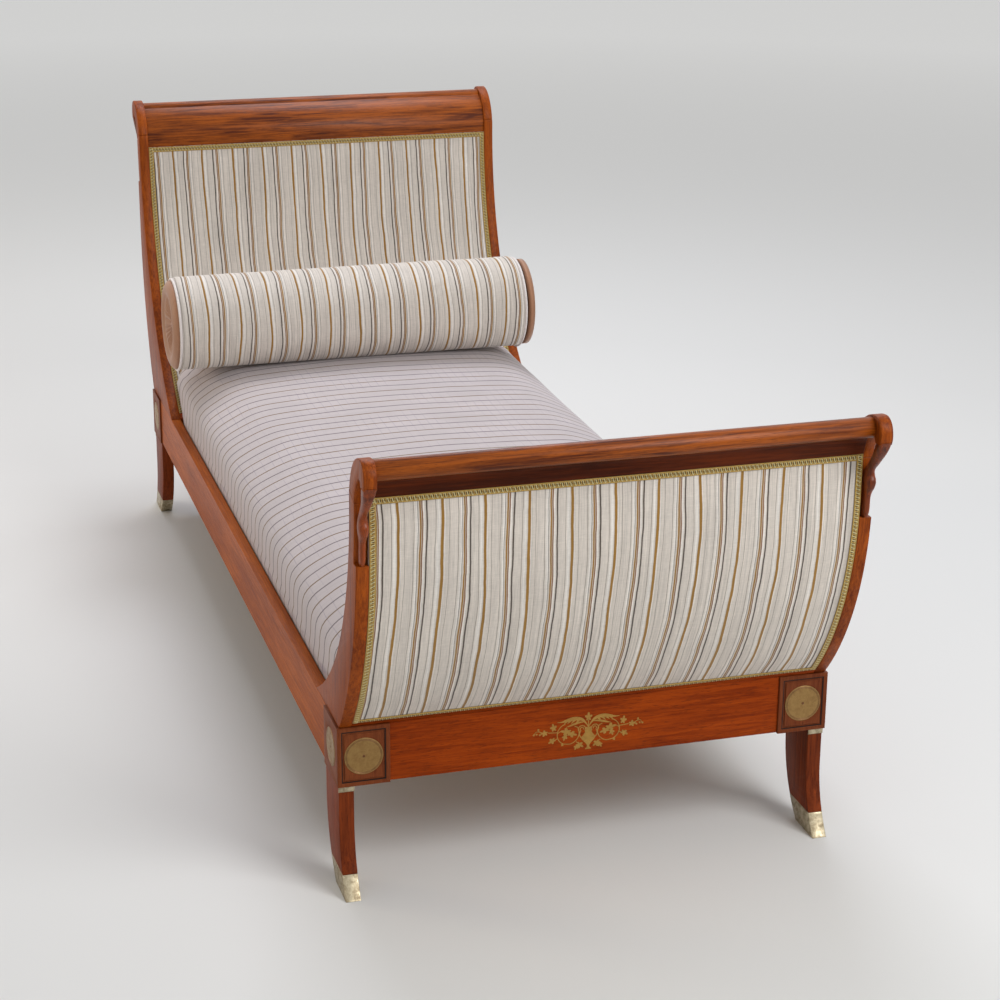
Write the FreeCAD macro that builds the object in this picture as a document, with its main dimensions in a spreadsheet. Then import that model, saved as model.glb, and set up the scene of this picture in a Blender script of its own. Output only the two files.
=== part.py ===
import FreeCAD, Part
import Sketcher
import math
import os

# Swan-neck daybed: a low foot end and a taller head end, both curling outwards, joined by two side rails.
# X runs along the bed with the foot end at +X, Y across it, Z up from the floor. Millimetres.

SIZES = {
    # corner blocks, rails and aprons
    "frame_length": 2064.0,      # between the outer faces of the foot blocks and the head blocks
    "frame_width": 900.0,        # between the outer faces of the left and right blocks
    "block_wide": 92.4,
    "block_deep": 105.0,
    "block_high": 110.0,
    "leg_high": 200.0,
    "block_proud": 4.0,          # the blocks stand this far out of the rails, posts and aprons
    "plank": 22.0,               # thickness of the side rails and of the S-shaped posts
    "apron_thick": 24.0,
    "apron_lift": 1.5,
    "sill_high": 9.5,
    # channel with its ebony line, and the medallions
    "channel_edge": 7.4,
    "channel_wide": 5.0,
    "channel_deep": 2.0,
    "line_wide": 1.8,
    "line_high": 1.2,
    "medal_round": 34.0,
    "medal_thick": 1.5,
    "medal_seat": 1.0,
    # sabre legs
    "leg_thick": 27.0,
    "leg_inset": 2.6,
    "leg_set": 6.0,
    "front_arc": 214.0,
    "front_knee": 130.0,
    "rear_arc": 206.0,
    "rear_knee": 150.0,
    "sabot_high": 40.0,
    "sabot_wall": 1.6,
    "sabot_floor": 3.0,
    "collar_high": 11.0,
    "collar_thick": 1.5,
    "collar_side": 0.8,
    # S-shaped posts: arcs of the inner and outer edges
    "foot_top": 842.0,
    "foot_neck_x": 100.0,        # inner edge of the neck, out from the foot blocks' faces
    "foot_inner_arc": 500.0,
    "foot_outer_x": 144.0,
    "foot_outer_arc": 560.0,
    "foot_outer_drop": 152.0,
    "head_top": 993.0,
    "head_neck_x": 74.0,
    "head_inner_arc": 695.0,
    "head_outer_x": 120.0,
    "head_outer_arc": 700.0,
    "head_outer_drop": 303.0,
    # scroll of the neck, measured from its inner edge and down from its top
    "turn_drop": 82.0,
    "neck_wide": 36.0,
    "curl_x": 78.0,
    "curl_drop": 28.0,
    "curl_round": 27.0,
    "eye_x": 71.0,
    "eye_drop": 42.0,
    "eye_round": 10.0,
    "scarf_rise": 16.0,
    "beak_drop": 186.0,
    "swan_thick": 15.0,
    "swan_edge": 3.0,
    # crest boards and rolls
    "board_recess": 4.0,
    "board_inner_drop": 97.0,
    "board_outer_drop": 72.0,
    "board_outer_x": 43.0,
    "board_face_x": 50.0,
    "board_face_drop": 53.0,
    "rebate_x": 24.0,
    "cove_x": 62.0,
    "cove_drop": 36.0,
    "cove_round": 22.0,
    "roll_x": 68.0,
    "roll_drop": 18.5,
    "roll_round": 15.5,
    # upholstered ends
    "pad_thick": 12.0,
    "pad_crown": 6.0,
    "crown_root": 4.0,           # how deep the swell of a pad starts inside its slab
    "crown_edge": 2.0,           # bare slab between the braid and the swell
    "pad_recess": 3.0,
    "pad_gap": 0.3,
    "stile_wide": 25.0,
    "panel_rail": 45.0,
    "gimp_wide": 11.6,
    "gimp_thick": 2.0,
    "gimp_gap": 0.3,
    "gimp_low": 8.5,             # height of the braid along the sloping bottom edge
    # slats, ledgers and hidden fastenings
    "ledger_wide": 20.0,
    "ledger_high": 25.0,
    "ledger_z": 243.0,
    "slat_thick": 20.0,
    "slat_wide": 70.0,
    "slat_start": 240.0,         # from the head blocks' outer faces to the first slat
    "slat_end": 258.0,           # from the last slat to the foot blocks' outer faces
    "slat_count": 12.0,
    "bracket_arm": 55.0,
    "bracket_high": 34.0,
    "bracket_thick": 3.0,
    "bracket_z": 205.0,
    "screw_round": 2.2,
    "screw_head": 4.5,
    "screw_deep": 16.0,
    "dowel_round": 5.0,
    "dowel_long": 50.0,
    "dowel_fit": 0.05,
    "post_pin_near": 0.35,       # places along the blocks' depth of the pins under the posts
    "post_pin_far": 0.8,
    # mattress
    "mattress_top": 457.0,
    "mattress_gap": 0.5,
    "slope_in": 143.5,           # from the mattress's sides to the ends of its nearly flat middle
    "flat_drop": 9.8,
    "shoulder_in": 18.5,
    "shoulder_drop": 51.0,
    "side_drop": 84.0,
    "flat_arc": 4000.0,
    "slope_arc": 268.0,
    "shoulder_arc": 38.0,
    "hem_round": 8.0,
    "end_gap": 1.0,
    "end_drop": 62.0,
    "end_run": 52.0,
    "end_arc": 70.0,
    "crown_spare": 1.0,
    # bolster
    "bolster_x": 321.0,          # from the head blocks' outer faces to the bolster's axis
    "bolster_aside": -26.0,      # from the middle of the frame to the bolster's middle, towards the left
    "bolster_round": 110.5,
    "bolster_half": 429.0,
    "bolster_sink": 10.5,
    "bolster_edge": 5.0,
    "cap_rim": 102.2,
    "cap_ring": 80.0,
    "cap_deep": 20.0,
    "cap_dish": 14.0,
    "button_round": 13.0,
    "button_high": 4.0,
    "piping_round": 3.0,
    "rest_gap": 0.3,
    # brass marquetry on the foot apron
    "inlay_thick": 0.6,
    "inlay_lift": 15.0,
}


class Dim:
    """A size with the words of the sheet expression that gives it."""

    def __init__(self, value, text):
        self.value = float(value)
        self.text = text

    def join(self, other, sign, value):
        return Dim(value, "(%s %s %s)" % (self.text, sign, dim(other).text))

    def __add__(self, other):
        return self.join(other, "+", self.value + dim(other).value)

    def __sub__(self, other):
        return self.join(other, "-", self.value - dim(other).value)

    def __mul__(self, other):
        return self.join(other, "*", self.value * dim(other).value)

    def __truediv__(self, other):
        return self.join(other, "/", self.value / dim(other).value)

    def __neg__(self):
        return Dim(-self.value, "(0 - %s)" % self.text)

    def root(self):
        return Dim(math.sqrt(self.value), "sqrt(%s)" % self.text)


def dim(thing):
    """A Dim from a size's name, a plain number or a Dim."""
    if isinstance(thing, Dim):
        return thing
    if isinstance(thing, str):
        return Dim(SIZES[thing], "Sizes." + thing)
    return Dim(thing, "(%r)" % float(thing))


doc = FreeCAD.newDocument("Daybed")
sheet = doc.addObject("Spreadsheet::Sheet", "Sizes")
for row, (name, number) in enumerate(SIZES.items(), start=1):
    sheet.set("A%d" % row, name)
    sheet.set("B%d" % row, str(number))
    sheet.setAlias("B%d" % row, name)
doc.recompute()

# Names of the sub-parts, in the order they are made
NODES = []


def keep(thing, label):
    """Marks an object of the document as a sub-part of its own."""
    thing.Label = label
    NODES.append(thing)
    return thing


def place(thing, x=0, y=0, z=0):
    for axis, value in (("x", x), ("y", y), ("z", z)):
        thing.setExpression("Placement.Base." + axis, dim(value).text)


def make_box(name, low, span):
    """A box from its lowest corner and its size along X, Y and Z."""
    thing = doc.addObject("Part::Box", name)
    for prop, value in zip(("Length", "Width", "Height"), span):
        thing.setExpression(prop, dim(value).text)
    place(thing, *low)
    return thing


def make_rod(name, centre, axis, radius, length):
    """A cylinder that starts at centre and runs along an axis: X, -X, Y, -Y or Z."""
    thing = doc.addObject("Part::Cylinder", name)
    thing.setExpression("Radius", dim(radius).text)
    thing.setExpression("Height", dim(length).text)
    turns = {
        "X": (0, 1, 0, 90), "-X": (0, 1, 0, -90),
        "Y": (1, 0, 0, -90), "-Y": (1, 0, 0, 90),
        "Z": (0, 0, 1, 0),
    }
    vx, vy, vz, angle = turns[axis]
    thing.Placement = FreeCAD.Placement(
        FreeCAD.Vector(0, 0, 0), FreeCAD.Rotation(FreeCAD.Vector(vx, vy, vz), angle)
    )
    place(thing, *centre)
    return thing


def group(name, members):
    """Separate solids kept together in one sub-part."""
    thing = doc.addObject("Part::Compound", name)
    thing.Links = members
    return thing


def fuse(name, members):
    thing = doc.addObject("Part::MultiFuse", name)
    thing.Shapes = members
    thing.Refine = True
    return thing


def cut(name, base, tools):
    tool = tools[0]
    if len(tools) > 1:
        tool = group(name + "_tools", tools)
    thing = doc.addObject("Part::Cut", name)
    thing.Base = base
    thing.Tool = tool
    return thing


def arc_geometry(start, end, radius, side):
    """A minor arc from start to end, and whether it runs against the sketch's own sense."""
    (x0, y0), (x1, y1) = start, end
    chord = math.hypot(x1 - x0, y1 - y0)
    rise = math.sqrt(max(radius * radius - chord * chord / 4, 0))
    nx, ny = -(y1 - y0) / chord, (x1 - x0) / chord
    cx = (x0 + x1) / 2 + side * rise * nx
    cy = (y0 + y1) / 2 + side * rise * ny
    circle = Part.Circle(FreeCAD.Vector(cx, cy, 0), FreeCAD.Vector(0, 0, 1), radius)
    first = math.atan2(y0 - cy, x0 - cx)
    last = math.atan2(y1 - cy, x1 - cx)
    against = side < 0
    if against:
        first, last = last, first
    while last < first:
        last += 2 * math.pi
    return Part.ArcOfCircle(circle, first, last), against


def make_profile(body, plane, points, edges):
    """A closed sketch with every corner and every radius bound to the sheet.

    edges[i] joins points[i] to the next point: None for a line, or (radius, side) for an arc whose
    centre lies to the left (1) or right (-1) of the way it runs.
    """
    sketch = body.newObject("Sketcher::SketchObject", body.Name + "_outline")
    base = [f for f in body.Origin.OriginFeatures if f.Role == plane][0]
    sketch.AttachmentSupport = [(base, "")]
    sketch.MapMode = "FlatFace"
    corners = [(dim(x), dim(y)) for x, y in points]
    ends = []
    count = len(corners)
    for i, edge in enumerate(edges):
        start = tuple(c.value for c in corners[i])
        end = tuple(c.value for c in corners[(i + 1) % count])
        if edge is None:
            line = Part.LineSegment(FreeCAD.Vector(*start, 0), FreeCAD.Vector(*end, 0))
            sketch.addGeometry(line, False)
            ends.append((1, 2))
        else:
            arc, against = arc_geometry(start, end, dim(edge[0]).value, edge[1])
            sketch.addGeometry(arc, False)
            ends.append((2, 1) if against else (1, 2))
    for i in range(count):
        after = (i + 1) % count
        sketch.addConstraint(Sketcher.Constraint("Coincident", i, ends[i][1], after, ends[after][0]))
    for i, (x, y) in enumerate(corners):
        for kind, value in (("DistanceX", x), ("DistanceY", y)):
            index = sketch.addConstraint(
                Sketcher.Constraint(kind, -1, 1, i, ends[i][0], value.value)
            )
            sketch.setExpression("Constraints[%d]" % index, value.text)
    for i, edge in enumerate(edges):
        if edge is not None:
            radius = dim(edge[0])
            index = sketch.addConstraint(Sketcher.Constraint("Radius", i, radius.value))
            sketch.setExpression("Constraints[%d]" % index, radius.text)
    return sketch


def make_plank(name, points, edges, thick, middle, plane="XZ_Plane"):
    """A flat piece of one outline, as thick as asked to both sides of its middle."""
    body = doc.addObject("PartDesign::Body", name)
    sketch = make_profile(body, plane, points, edges)
    pad = body.newObject("PartDesign::Pad", name + "_pad")
    pad.Profile = sketch
    pad.Midplane = True
    pad.setExpression("Length", dim(thick).text)
    sketch.Visibility = False
    if plane == "XZ_Plane":
        place(body, y=middle)
    else:
        place(body, x=middle)
    return body


# Levels and lines that pieces share
rail_top = dim("leg_high") + "block_high"
sill_top = rail_top + "sill_high"
rail_out = dim("frame_width") / 2 - "block_proud"
rail_in = rail_out - "plank"
rail_mid = rail_out - dim("plank") / 2
block_mid = dim("frame_width") / 2 - dim("block_wide") / 2
block_in = dim("frame_width") / 2 - "block_wide"
slat_low = dim("ledger_z") + "ledger_high"
bed_base = slat_low + "slat_thick" + "rest_gap"
# The foot scrolls reach further out than the head scrolls, and the origin is in the middle of the whole
offset = (dim("foot_neck_x") - "head_neck_x") / 2


class End:
    """One end of the bed: its places and its signs along X."""

    def __init__(self, name, sign):
        self.name = name
        self.sign = sign
        self.face = dim("frame_length") / 2 * sign - offset
        self.top = dim(name + "_top")
        self.neck = dim(name + "_neck_x")
        self.inner_arc = dim(name + "_inner_arc")
        self.outer_arc = dim(name + "_outer_arc")
        self.outer_x = dim(name + "_outer_x")
        self.inner_z = self.top - "turn_drop"
        self.outer_z = self.top - (name + "_outer_drop")
        self.beak_z = self.top - "beak_drop"

    def out(self, distance):
        """X of a point that lies this far out from the outer faces of the blocks."""
        return self.face + dim(distance) * self.sign

    def scroll(self, x, drop):
        """A point of the scroll, from the neck's inner edge and down from the top."""
        return self.out(self.neck + x), self.top - drop

    def inner(self, z, inset=0):
        """The posts' inner edge at a height, moved out by inset."""
        big = self.inner_arc + inset
        rise = dim(z) - self.inner_z
        return self.neck - self.inner_arc + (big * big - rise * rise).root()

    def outer(self, z, inset=0):
        """The posts' outer edge at a height, moved in by inset."""
        small = self.outer_arc - inset
        rise = dim(z) - self.outer_z
        return self.outer_x - self.outer_arc + (small * small - rise * rise).root()


ENDS = [End("foot", 1), End("head", -1)]
SIDES = [("left", -1), ("right", 1)]


def make_blocks():
    """Corner blocks: a channel round the end face, and seats for two medallions and the rail's dowels."""
    medals = []
    lines = []
    for end in ENDS:
        for side, hand in SIDES:
            name = "%s_block_%s" % (end.name, side)
            low_x = end.face - dim("block_deep") * (1 if end.sign > 0 else 0)
            low_y = block_mid * hand - dim("block_wide") / 2
            block_size = ("block_deep", "block_wide", "block_high")
            whole = make_box(name + "_blank", (low_x, low_y, "leg_high"), block_size)
            channel_x = end.face - dim("channel_deep") * (1 if end.sign > 0 else 0)
            edge = dim("channel_edge")
            ring = make_ring(name + "_channel", channel_x, low_y, edge, "channel_wide", "channel_deep")
            line_x = end.out(-dim("channel_deep")) - dim("line_high") * (0 if end.sign > 0 else 1)
            lines.append(make_ring(name + "_line", line_x, low_y, edge, "line_wide", "line_high"))
            mid_z = dim("leg_high") + dim("block_high") / 2
            axis_x = "X" if end.sign > 0 else "-X"
            axis_y = "Y" if hand > 0 else "-Y"
            front = (end.out(-dim("medal_seat")), block_mid * hand, mid_z)
            side_y = (dim("frame_width") / 2 - "medal_seat") * hand
            flank = (end.out(-dim("block_deep") / 2), side_y, mid_z)
            seats = [
                make_rod(name + "_front_seat", front, axis_x, "medal_round", "medal_thick"),
                make_rod(name + "_side_seat", flank, axis_y, "medal_round", "medal_thick"),
            ]
            medals.append(make_rod(name + "_front_medal", front, axis_x, "medal_round", "medal_thick"))
            medals.append(make_rod(name + "_side_medal", flank, axis_y, "medal_round", "medal_thick"))
            bores = rail_bores(end, hand, name) + apron_bores(end, hand, name) + post_bores(end, hand, name)
            keep(cut(name, whole, [ring] + seats + bores), name)
    keep(group("brass_medallions", medals), "brass_medallions")
    keep(group("ebony_stringing", lines), "ebony_stringing")


def make_ring(name, x, low_y, edge, wide, deep):
    """A square ring laid on a block's end face."""
    outer = make_box(
        name + "_outer",
        (x, low_y + edge, dim("leg_high") + edge),
        (deep, dim("block_wide") - edge * 2, dim("block_high") - edge * 2),
    )
    inset = edge + wide
    hole = make_box(
        name + "_inner",
        (x - 1, low_y + inset, dim("leg_high") + inset),
        (dim(deep) + 2, dim("block_wide") - inset * 2, dim("block_high") - inset * 2),
    )
    return cut(name, outer, [hole])


# Heights of the dowels in a block, as shares of its height
PIN_SHARES = (0.08, 0.6)


def rail_pins(end):
    """Heights of the two dowels that join a rail to a block."""
    return [dim("leg_high") + dim("block_high") * share for share in PIN_SHARES]


def rail_bores(end, hand, name):
    return [
        make_rod(
            "%s_rail_bore%d" % (name, i),
            (end.out(-dim("block_deep")) - dim("dowel_long") / 2, rail_mid * hand, z),
            "X",
            dim("dowel_round") + "dowel_fit",
            "dowel_long",
        )
        for i, z in enumerate(rail_pins(end))
    ]


def apron_mid(end):
    return end.out(-(dim("block_proud") + dim("apron_thick") / 2))


def apron_bores(end, hand, name):
    return [
        make_rod(
            "%s_apron_bore%d" % (name, i),
            (apron_mid(end), block_in * hand - dim("dowel_long") / 2, z),
            "Y",
            dim("dowel_round") + "dowel_fit",
            "dowel_long",
        )
        for i, z in enumerate(rail_pins(end))
    ]


def post_pins(end):
    """Places of the two dowels that hold a post on its block."""
    return [end.out(-dim("block_deep") * share) for share in ("post_pin_near", "post_pin_far")]


def post_bores(end, hand, name):
    return [
        make_rod(
            "%s_post_bore%d" % (name, i),
            (x, rail_mid * hand, rail_top - dim("dowel_long") / 2),
            "Z",
            dim("dowel_round") + "dowel_fit",
            "dowel_long",
        )
        for i, x in enumerate(post_pins(end))
    ]


def make_dowels():
    rail_dowels = []
    post_dowels = []
    for end in ENDS:
        for side, hand in SIDES:
            name = "%s_%s" % (end.name, side)
            for i, z in enumerate(rail_pins(end)):
                start = (end.out(-dim("block_deep")) - dim("dowel_long") / 2, rail_mid * hand, z)
                label = "%s_rail_dowel%d" % (name, i)
                rail_dowels.append(make_rod(label, start, "X", "dowel_round", "dowel_long"))
                start = (apron_mid(end), block_in * hand - dim("dowel_long") / 2, z)
                label = "%s_apron_dowel%d" % (name, i)
                rail_dowels.append(make_rod(label, start, "Y", "dowel_round", "dowel_long"))
            for i, x in enumerate(post_pins(end)):
                start = (x, rail_mid * hand, rail_top - dim("dowel_long") / 2)
                label = "%s_post_dowel%d" % (name, i)
                post_dowels.append(make_rod(label, start, "Z", "dowel_round", "dowel_long"))
    keep(group("rail_dowels", rail_dowels), "rail_dowels")
    keep(group("post_dowels", post_dowels), "post_dowels")


def make_rails():
    """Side rails between the blocks, and the aprons across the ends."""
    foot, head = ENDS
    start = head.out(-dim("block_deep"))
    length = foot.out(-dim("block_deep")) - start
    for side, hand in SIDES:
        name = "side_rail_" + side
        low_y = rail_mid * hand - dim("plank") / 2
        blank = make_box(name + "_blank", (start, low_y, "leg_high"), (length, "plank", "block_high"))
        bores = []
        for end in ENDS:
            bores += rail_bores(end, hand, name + end.name)
            bores += post_bores(end, hand, name + end.name)
        keep(cut(name, blank, bores), name)
        ledger_y = rail_in * hand - dim("ledger_wide") * (1 if hand > 0 else 0)
        ledger_size = (length, "ledger_wide", "ledger_high")
        ledger = make_box("slat_ledger_" + side, (start, ledger_y, "ledger_z"), ledger_size)
        keep(ledger, "slat_ledger_" + side)
    for end in ENDS:
        name = end.name + "_apron"
        low_x = apron_mid(end) - dim("apron_thick") / 2
        low_z = dim("leg_high") + "apron_lift"
        blank = make_box(
            name + "_blank", (low_x, -block_in, low_z), ("apron_thick", block_in * 2, rail_top - low_z)
        )
        bores = apron_bores(end, -1, name + "_left") + apron_bores(end, 1, name + "_right")
        keep(cut(name, blank, bores), name)
        make_sill(end)


def make_sill(end):
    """The board under the upholstery, its outer edge cut to the slope of the posts."""
    points = [
        (end.out(end.outer(rail_top)), rail_top),
        (end.out(end.outer(sill_top)), sill_top),
        (end.out(end.inner(sill_top)), sill_top),
        (end.out(end.inner(rail_top)), rail_top),
    ]
    keep(make_plank(end.name + "_sill", points, [None] * 4, rail_in * 2, 0), end.name + "_sill")


def make_slats():
    head = ENDS[1]
    run = dim("frame_length") - "slat_start" - "slat_end" - "slat_wide"
    pitch = run / (dim("slat_count") - 1)
    half = rail_in - "rest_gap"
    slats = [
        make_box(
            "slat%d" % i,
            (head.face + "slat_start" + pitch * i, -half, slat_low),
            ("slat_wide", half * 2, "slat_thick"),
        )
        for i in range(int(SIZES["slat_count"]))
    ]
    keep(group("slats", slats), "slats")


# Places of the screws along each arm of a bracket
SCREW_SHARES = (0.4, 0.8)


def make_brackets():
    """Steel angles in the inner corners, screwed to the rail and to the block."""
    angles = []
    screws = []
    for end in ENDS:
        for side, hand in SIDES:
            name = "%s_%s_bracket" % (end.name, side)
            corner_x = end.out(-dim("block_deep"))
            corner_y = rail_in * hand
            far_x = corner_x - dim("bracket_arm") * end.sign
            far_y = corner_y - dim("bracket_arm") * hand
            step_x = corner_x - dim("bracket_thick") * end.sign
            step_y = corner_y - dim("bracket_thick") * hand
            points = [
                (corner_x, corner_y),
                (far_x, corner_y),
                (far_x, step_y),
                (step_x, step_y),
                (step_x, far_y),
                (corner_x, far_y),
            ]
            body = doc.addObject("PartDesign::Body", name)
            sketch = make_profile(body, "XY_Plane", points, [None] * 6)
            pad = body.newObject("PartDesign::Pad", name + "_pad")
            pad.Profile = sketch
            pad.setExpression("Length", dim("bracket_high").text)
            place(body, z="bracket_z")
            holes = []
            mid_z = dim("bracket_z") + dim("bracket_high") / 2
            away_x = "-X" if end.sign > 0 else "X"
            away_y = "-Y" if hand > 0 else "Y"
            for share in SCREW_SHARES:
                x = corner_x - dim("bracket_arm") * (share * end.sign)
                y = corner_y - dim("bracket_arm") * (share * hand)
                for axis, centre in (
                    (away_y, (x, corner_y + dim("screw_deep") * hand, mid_z)),
                    (away_x, (corner_x + dim("screw_deep") * end.sign, y, mid_z)),
                ):
                    label = "%s_screw%d%s" % (name, int(share * 10), axis[-1])
                    shank = dim("screw_deep") + "bracket_thick"
                    hole_round = dim("screw_round") + "dowel_fit"
                    holes.append(make_rod(label + "_hole", centre, axis, hole_round, shank))
                    stem = make_rod(label + "_stem", centre, axis, "screw_round", shank)
                    if axis[-1] == "Y":
                        top = (x, step_y, mid_z)
                    else:
                        top = (step_x, y, mid_z)
                    cap = make_rod(label + "_cap", top, axis, "screw_head", dim("bracket_thick") / 2)
                    screws.append(fuse(label, [stem, cap]))
            angles.append(cut(name + "_drilled", body, holes))
    keep(group("corner_brackets", angles), "corner_brackets")
    keep(group("bracket_screws", screws), "bracket_screws")


def front_edge(z, inset=0):
    """X of a foot leg's front edge at a height, from the block's face."""
    big = dim("front_arc") + inset
    fall = dim("front_knee") - z
    return dim("front_arc") - "leg_set" - (big * big - fall * fall).root()


def rear_edge(z, inset=0):
    small = dim("rear_arc") - inset
    fall = dim("rear_knee") - z
    return dim("rear_arc") - "block_deep" - (small * small - fall * fall).root()


def make_legs():
    """Sabre legs, each with a narrower tip inside its brass sabot, and the collars on their front faces."""
    collars = []
    for end in ENDS:
        turn = end.sign
        for side, hand in SIDES:
            name = "%s_leg_%s" % (end.name, side)
            middle = (dim("frame_width") / 2 - "leg_inset" - dim("leg_thick") / 2) * hand
            points = [
                (end.out(front_edge("front_knee")), "leg_high"),
                (end.out(front_edge("front_knee")), "front_knee"),
                (end.out(front_edge("sabot_high")), "sabot_high"),
                (end.out(rear_edge("sabot_high")), "sabot_high"),
                (end.out(rear_edge("rear_knee")), "rear_knee"),
                (end.out(rear_edge("rear_knee")), "leg_high"),
            ]
            edges = [None, ("front_arc", turn), None, ("rear_arc", -turn), None, None]
            upper = make_plank(name + "_upper", points, edges, "leg_thick", middle)
            wall = dim("sabot_wall") + "dowel_fit"
            tip = make_toe(name + "_tip", end, dim("sabot_floor"), dim("sabot_high"), wall, middle)
            keep(fuse(name, [upper, tip]), name)
            name = "%s_sabot_%s" % (end.name, side)
            shoe = make_toe(name + "_shoe", end, dim(0), dim("sabot_high"), dim(0), middle)
            hollow = make_toe(
                name + "_hollow", end, dim("sabot_floor"), dim("sabot_high") + 1, dim("sabot_wall"), middle
            )
            keep(cut(name, shoe, [hollow]), name)
            low_x = end.out(-dim("leg_set")) - dim("collar_thick") * (0 if end.sign > 0 else 1)
            wide = dim("leg_thick") + dim("collar_side") * 2
            collars.append(
                make_box(
                    "%s_collar_%s" % (end.name, side),
                    (low_x, middle - wide / 2, dim("leg_high") - "collar_high"),
                    ("collar_thick", wide, "collar_high"),
                )
            )
    keep(group("leg_collars", collars), "leg_collars")


def make_toe(name, end, low, high, inset, middle):
    """The foot of a leg between two heights, smaller all round by inset."""
    points = [
        (end.out(front_edge(high, inset)), high),
        (end.out(front_edge(low, inset)), low),
        (end.out(rear_edge(low, inset)), low),
        (end.out(rear_edge(high, inset)), high),
    ]
    edges = [(dim("front_arc") + inset, end.sign), None, (dim("rear_arc") - inset, -end.sign), None]
    return make_plank(name, points, edges, dim("leg_thick") - inset * 2, middle)


# Radii of the scroll that make its arcs run into each other
curl_fall = dim("turn_drop") - "curl_drop"
eye_fall = dim("turn_drop") - "eye_drop"
eye_in = dim("eye_x") - "neck_wide"
back_arc = (dim("curl_x") * "curl_x" + curl_fall * curl_fall - dim("curl_round") * "curl_round") / (
    (dim("curl_x") - "curl_round") * 2
)
throat_square = eye_in * eye_in + eye_fall * eye_fall - dim("eye_round") * "eye_round"
throat_arc = throat_square / ((eye_in - "eye_round") * 2)


def scroll_points(end):
    """Corners of the scroll: both ends of the scarf and where its arcs meet."""
    rise = dim("scarf_rise")
    share = back_arc / (back_arc - "curl_round")
    eye_share = throat_arc / (throat_arc - "eye_round")
    eye_below = dim("eye_drop") - "curl_drop"
    side_step = (dim("curl_round") * "curl_round" - eye_below * eye_below).root()
    return {
        "turn": end.scroll(dim(0), dim("turn_drop")),
        "scarf_in": end.scroll(
            back_arc - (back_arc * back_arc - rise * rise).root(), dim("turn_drop") - rise
        ),
        "scarf_out": end.scroll(dim("neck_wide"), dim("turn_drop")),
        "eye_top": end.scroll(
            dim("neck_wide") + throat_arc + (dim("eye_x") - "neck_wide" - throat_arc) * eye_share,
            dim("turn_drop") - eye_fall * eye_share,
        ),
        "joint_in": end.scroll(dim("eye_x") + "eye_round", dim("eye_drop")),
        "joint_out": end.scroll(dim("curl_x") + side_step, dim("eye_drop")),
        "crown": end.scroll(
            back_arc + (dim("curl_x") - back_arc) * share, dim("turn_drop") - curl_fall * share
        ),
    }


def outer_path(end, low, high, inset=0):
    """The posts' outer edge from low up to high: an arc, and a straight line above the arc's own top."""
    turn = end.sign
    radius = end.outer_arc - inset
    if low.value >= end.outer_z.value:
        straight = end.out(end.outer_x - inset)
        return [(straight, low), (straight, high)], [None]
    if high.value <= end.outer_z.value:
        points = [(end.out(end.outer(low, inset)), low), (end.out(end.outer(high, inset)), high)]
        return points, [(radius, turn)]
    straight = end.out(end.outer_x - inset)
    points = [(end.out(end.outer(low, inset)), low), (straight, end.outer_z), (straight, high)]
    return points, [(radius, turn), None]


def inner_path(end, low, high, inset=0):
    points = [(end.out(end.inner(low, inset)), low), (end.out(end.inner(high, inset)), high)]
    return points, [(end.inner_arc + inset, end.sign)]


def turned(path):
    """The same path walked down instead of up."""
    points, edges = path
    back = [None if edge is None else (edge[0], -edge[1]) for edge in reversed(edges)]
    return list(reversed(points)), back


def between(name, front, back, thick, middle):
    """A plank between two upward paths."""
    down_points, down_edges = turned(back)
    points = front[0] + down_points
    edges = front[1] + [None] + down_edges + [None]
    return make_plank(name, points, edges, thick, middle)


def make_posts():
    """S-shaped posts that stand on the blocks and rails, and the scrolls scarfed on their tops."""
    for end in ENDS:
        turn = end.sign
        corner = scroll_points(end)
        neck_arc = end.inner_arc + "neck_wide"
        up_points, up_edges = outer_path(end, rail_top, end.beak_z)
        points = up_points + [
            (end.out(end.inner(end.beak_z, dim("neck_wide"))), end.beak_z),
            corner["scarf_out"],
            corner["scarf_in"],
            corner["turn"],
            (end.out(end.inner(rail_top)), rail_top),
        ]
        edges = up_edges + [None, (neck_arc, turn), None, (back_arc, turn), (end.inner_arc, -turn), None]
        curl = [
            corner["scarf_out"],
            corner["eye_top"],
            corner["joint_in"],
            corner["joint_out"],
            corner["crown"],
            corner["scarf_in"],
        ]
        curl_edges = [
            (throat_arc, -turn),
            ("eye_round", -turn),
            None,
            ("curl_round", turn),
            (back_arc, turn),
            None,
        ]
        for side, hand in SIDES:
            name = "%s_post_%s" % (end.name, side)
            blank = make_plank(name + "_blank", points, edges, "plank", rail_mid * hand)
            keep(cut(name, blank, post_bores(end, hand, name)), name)
            name = "%s_scroll_%s" % (end.name, side)
            keep(make_plank(name, curl, curl_edges, "plank", rail_mid * hand), name)


# Outer and inner outlines of a swan's neck and head: out from the neck's inner edge and down from the top
SWAN_FRONT = [
    (95, 56), (80, 75), (64, 91), (58, 102), (59.5, 111), (62, 119), (59.5, 130), (52, 141), (49, 153)
]
SWAN_BEAK = [(48.5, 168), (46.5, 180)]
SWAN_BACK = [(45, 91), (58, 75), (71, 58)]
SWAN_CHIN = 43.0
SWAN_TOUCH = 104.0


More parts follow.
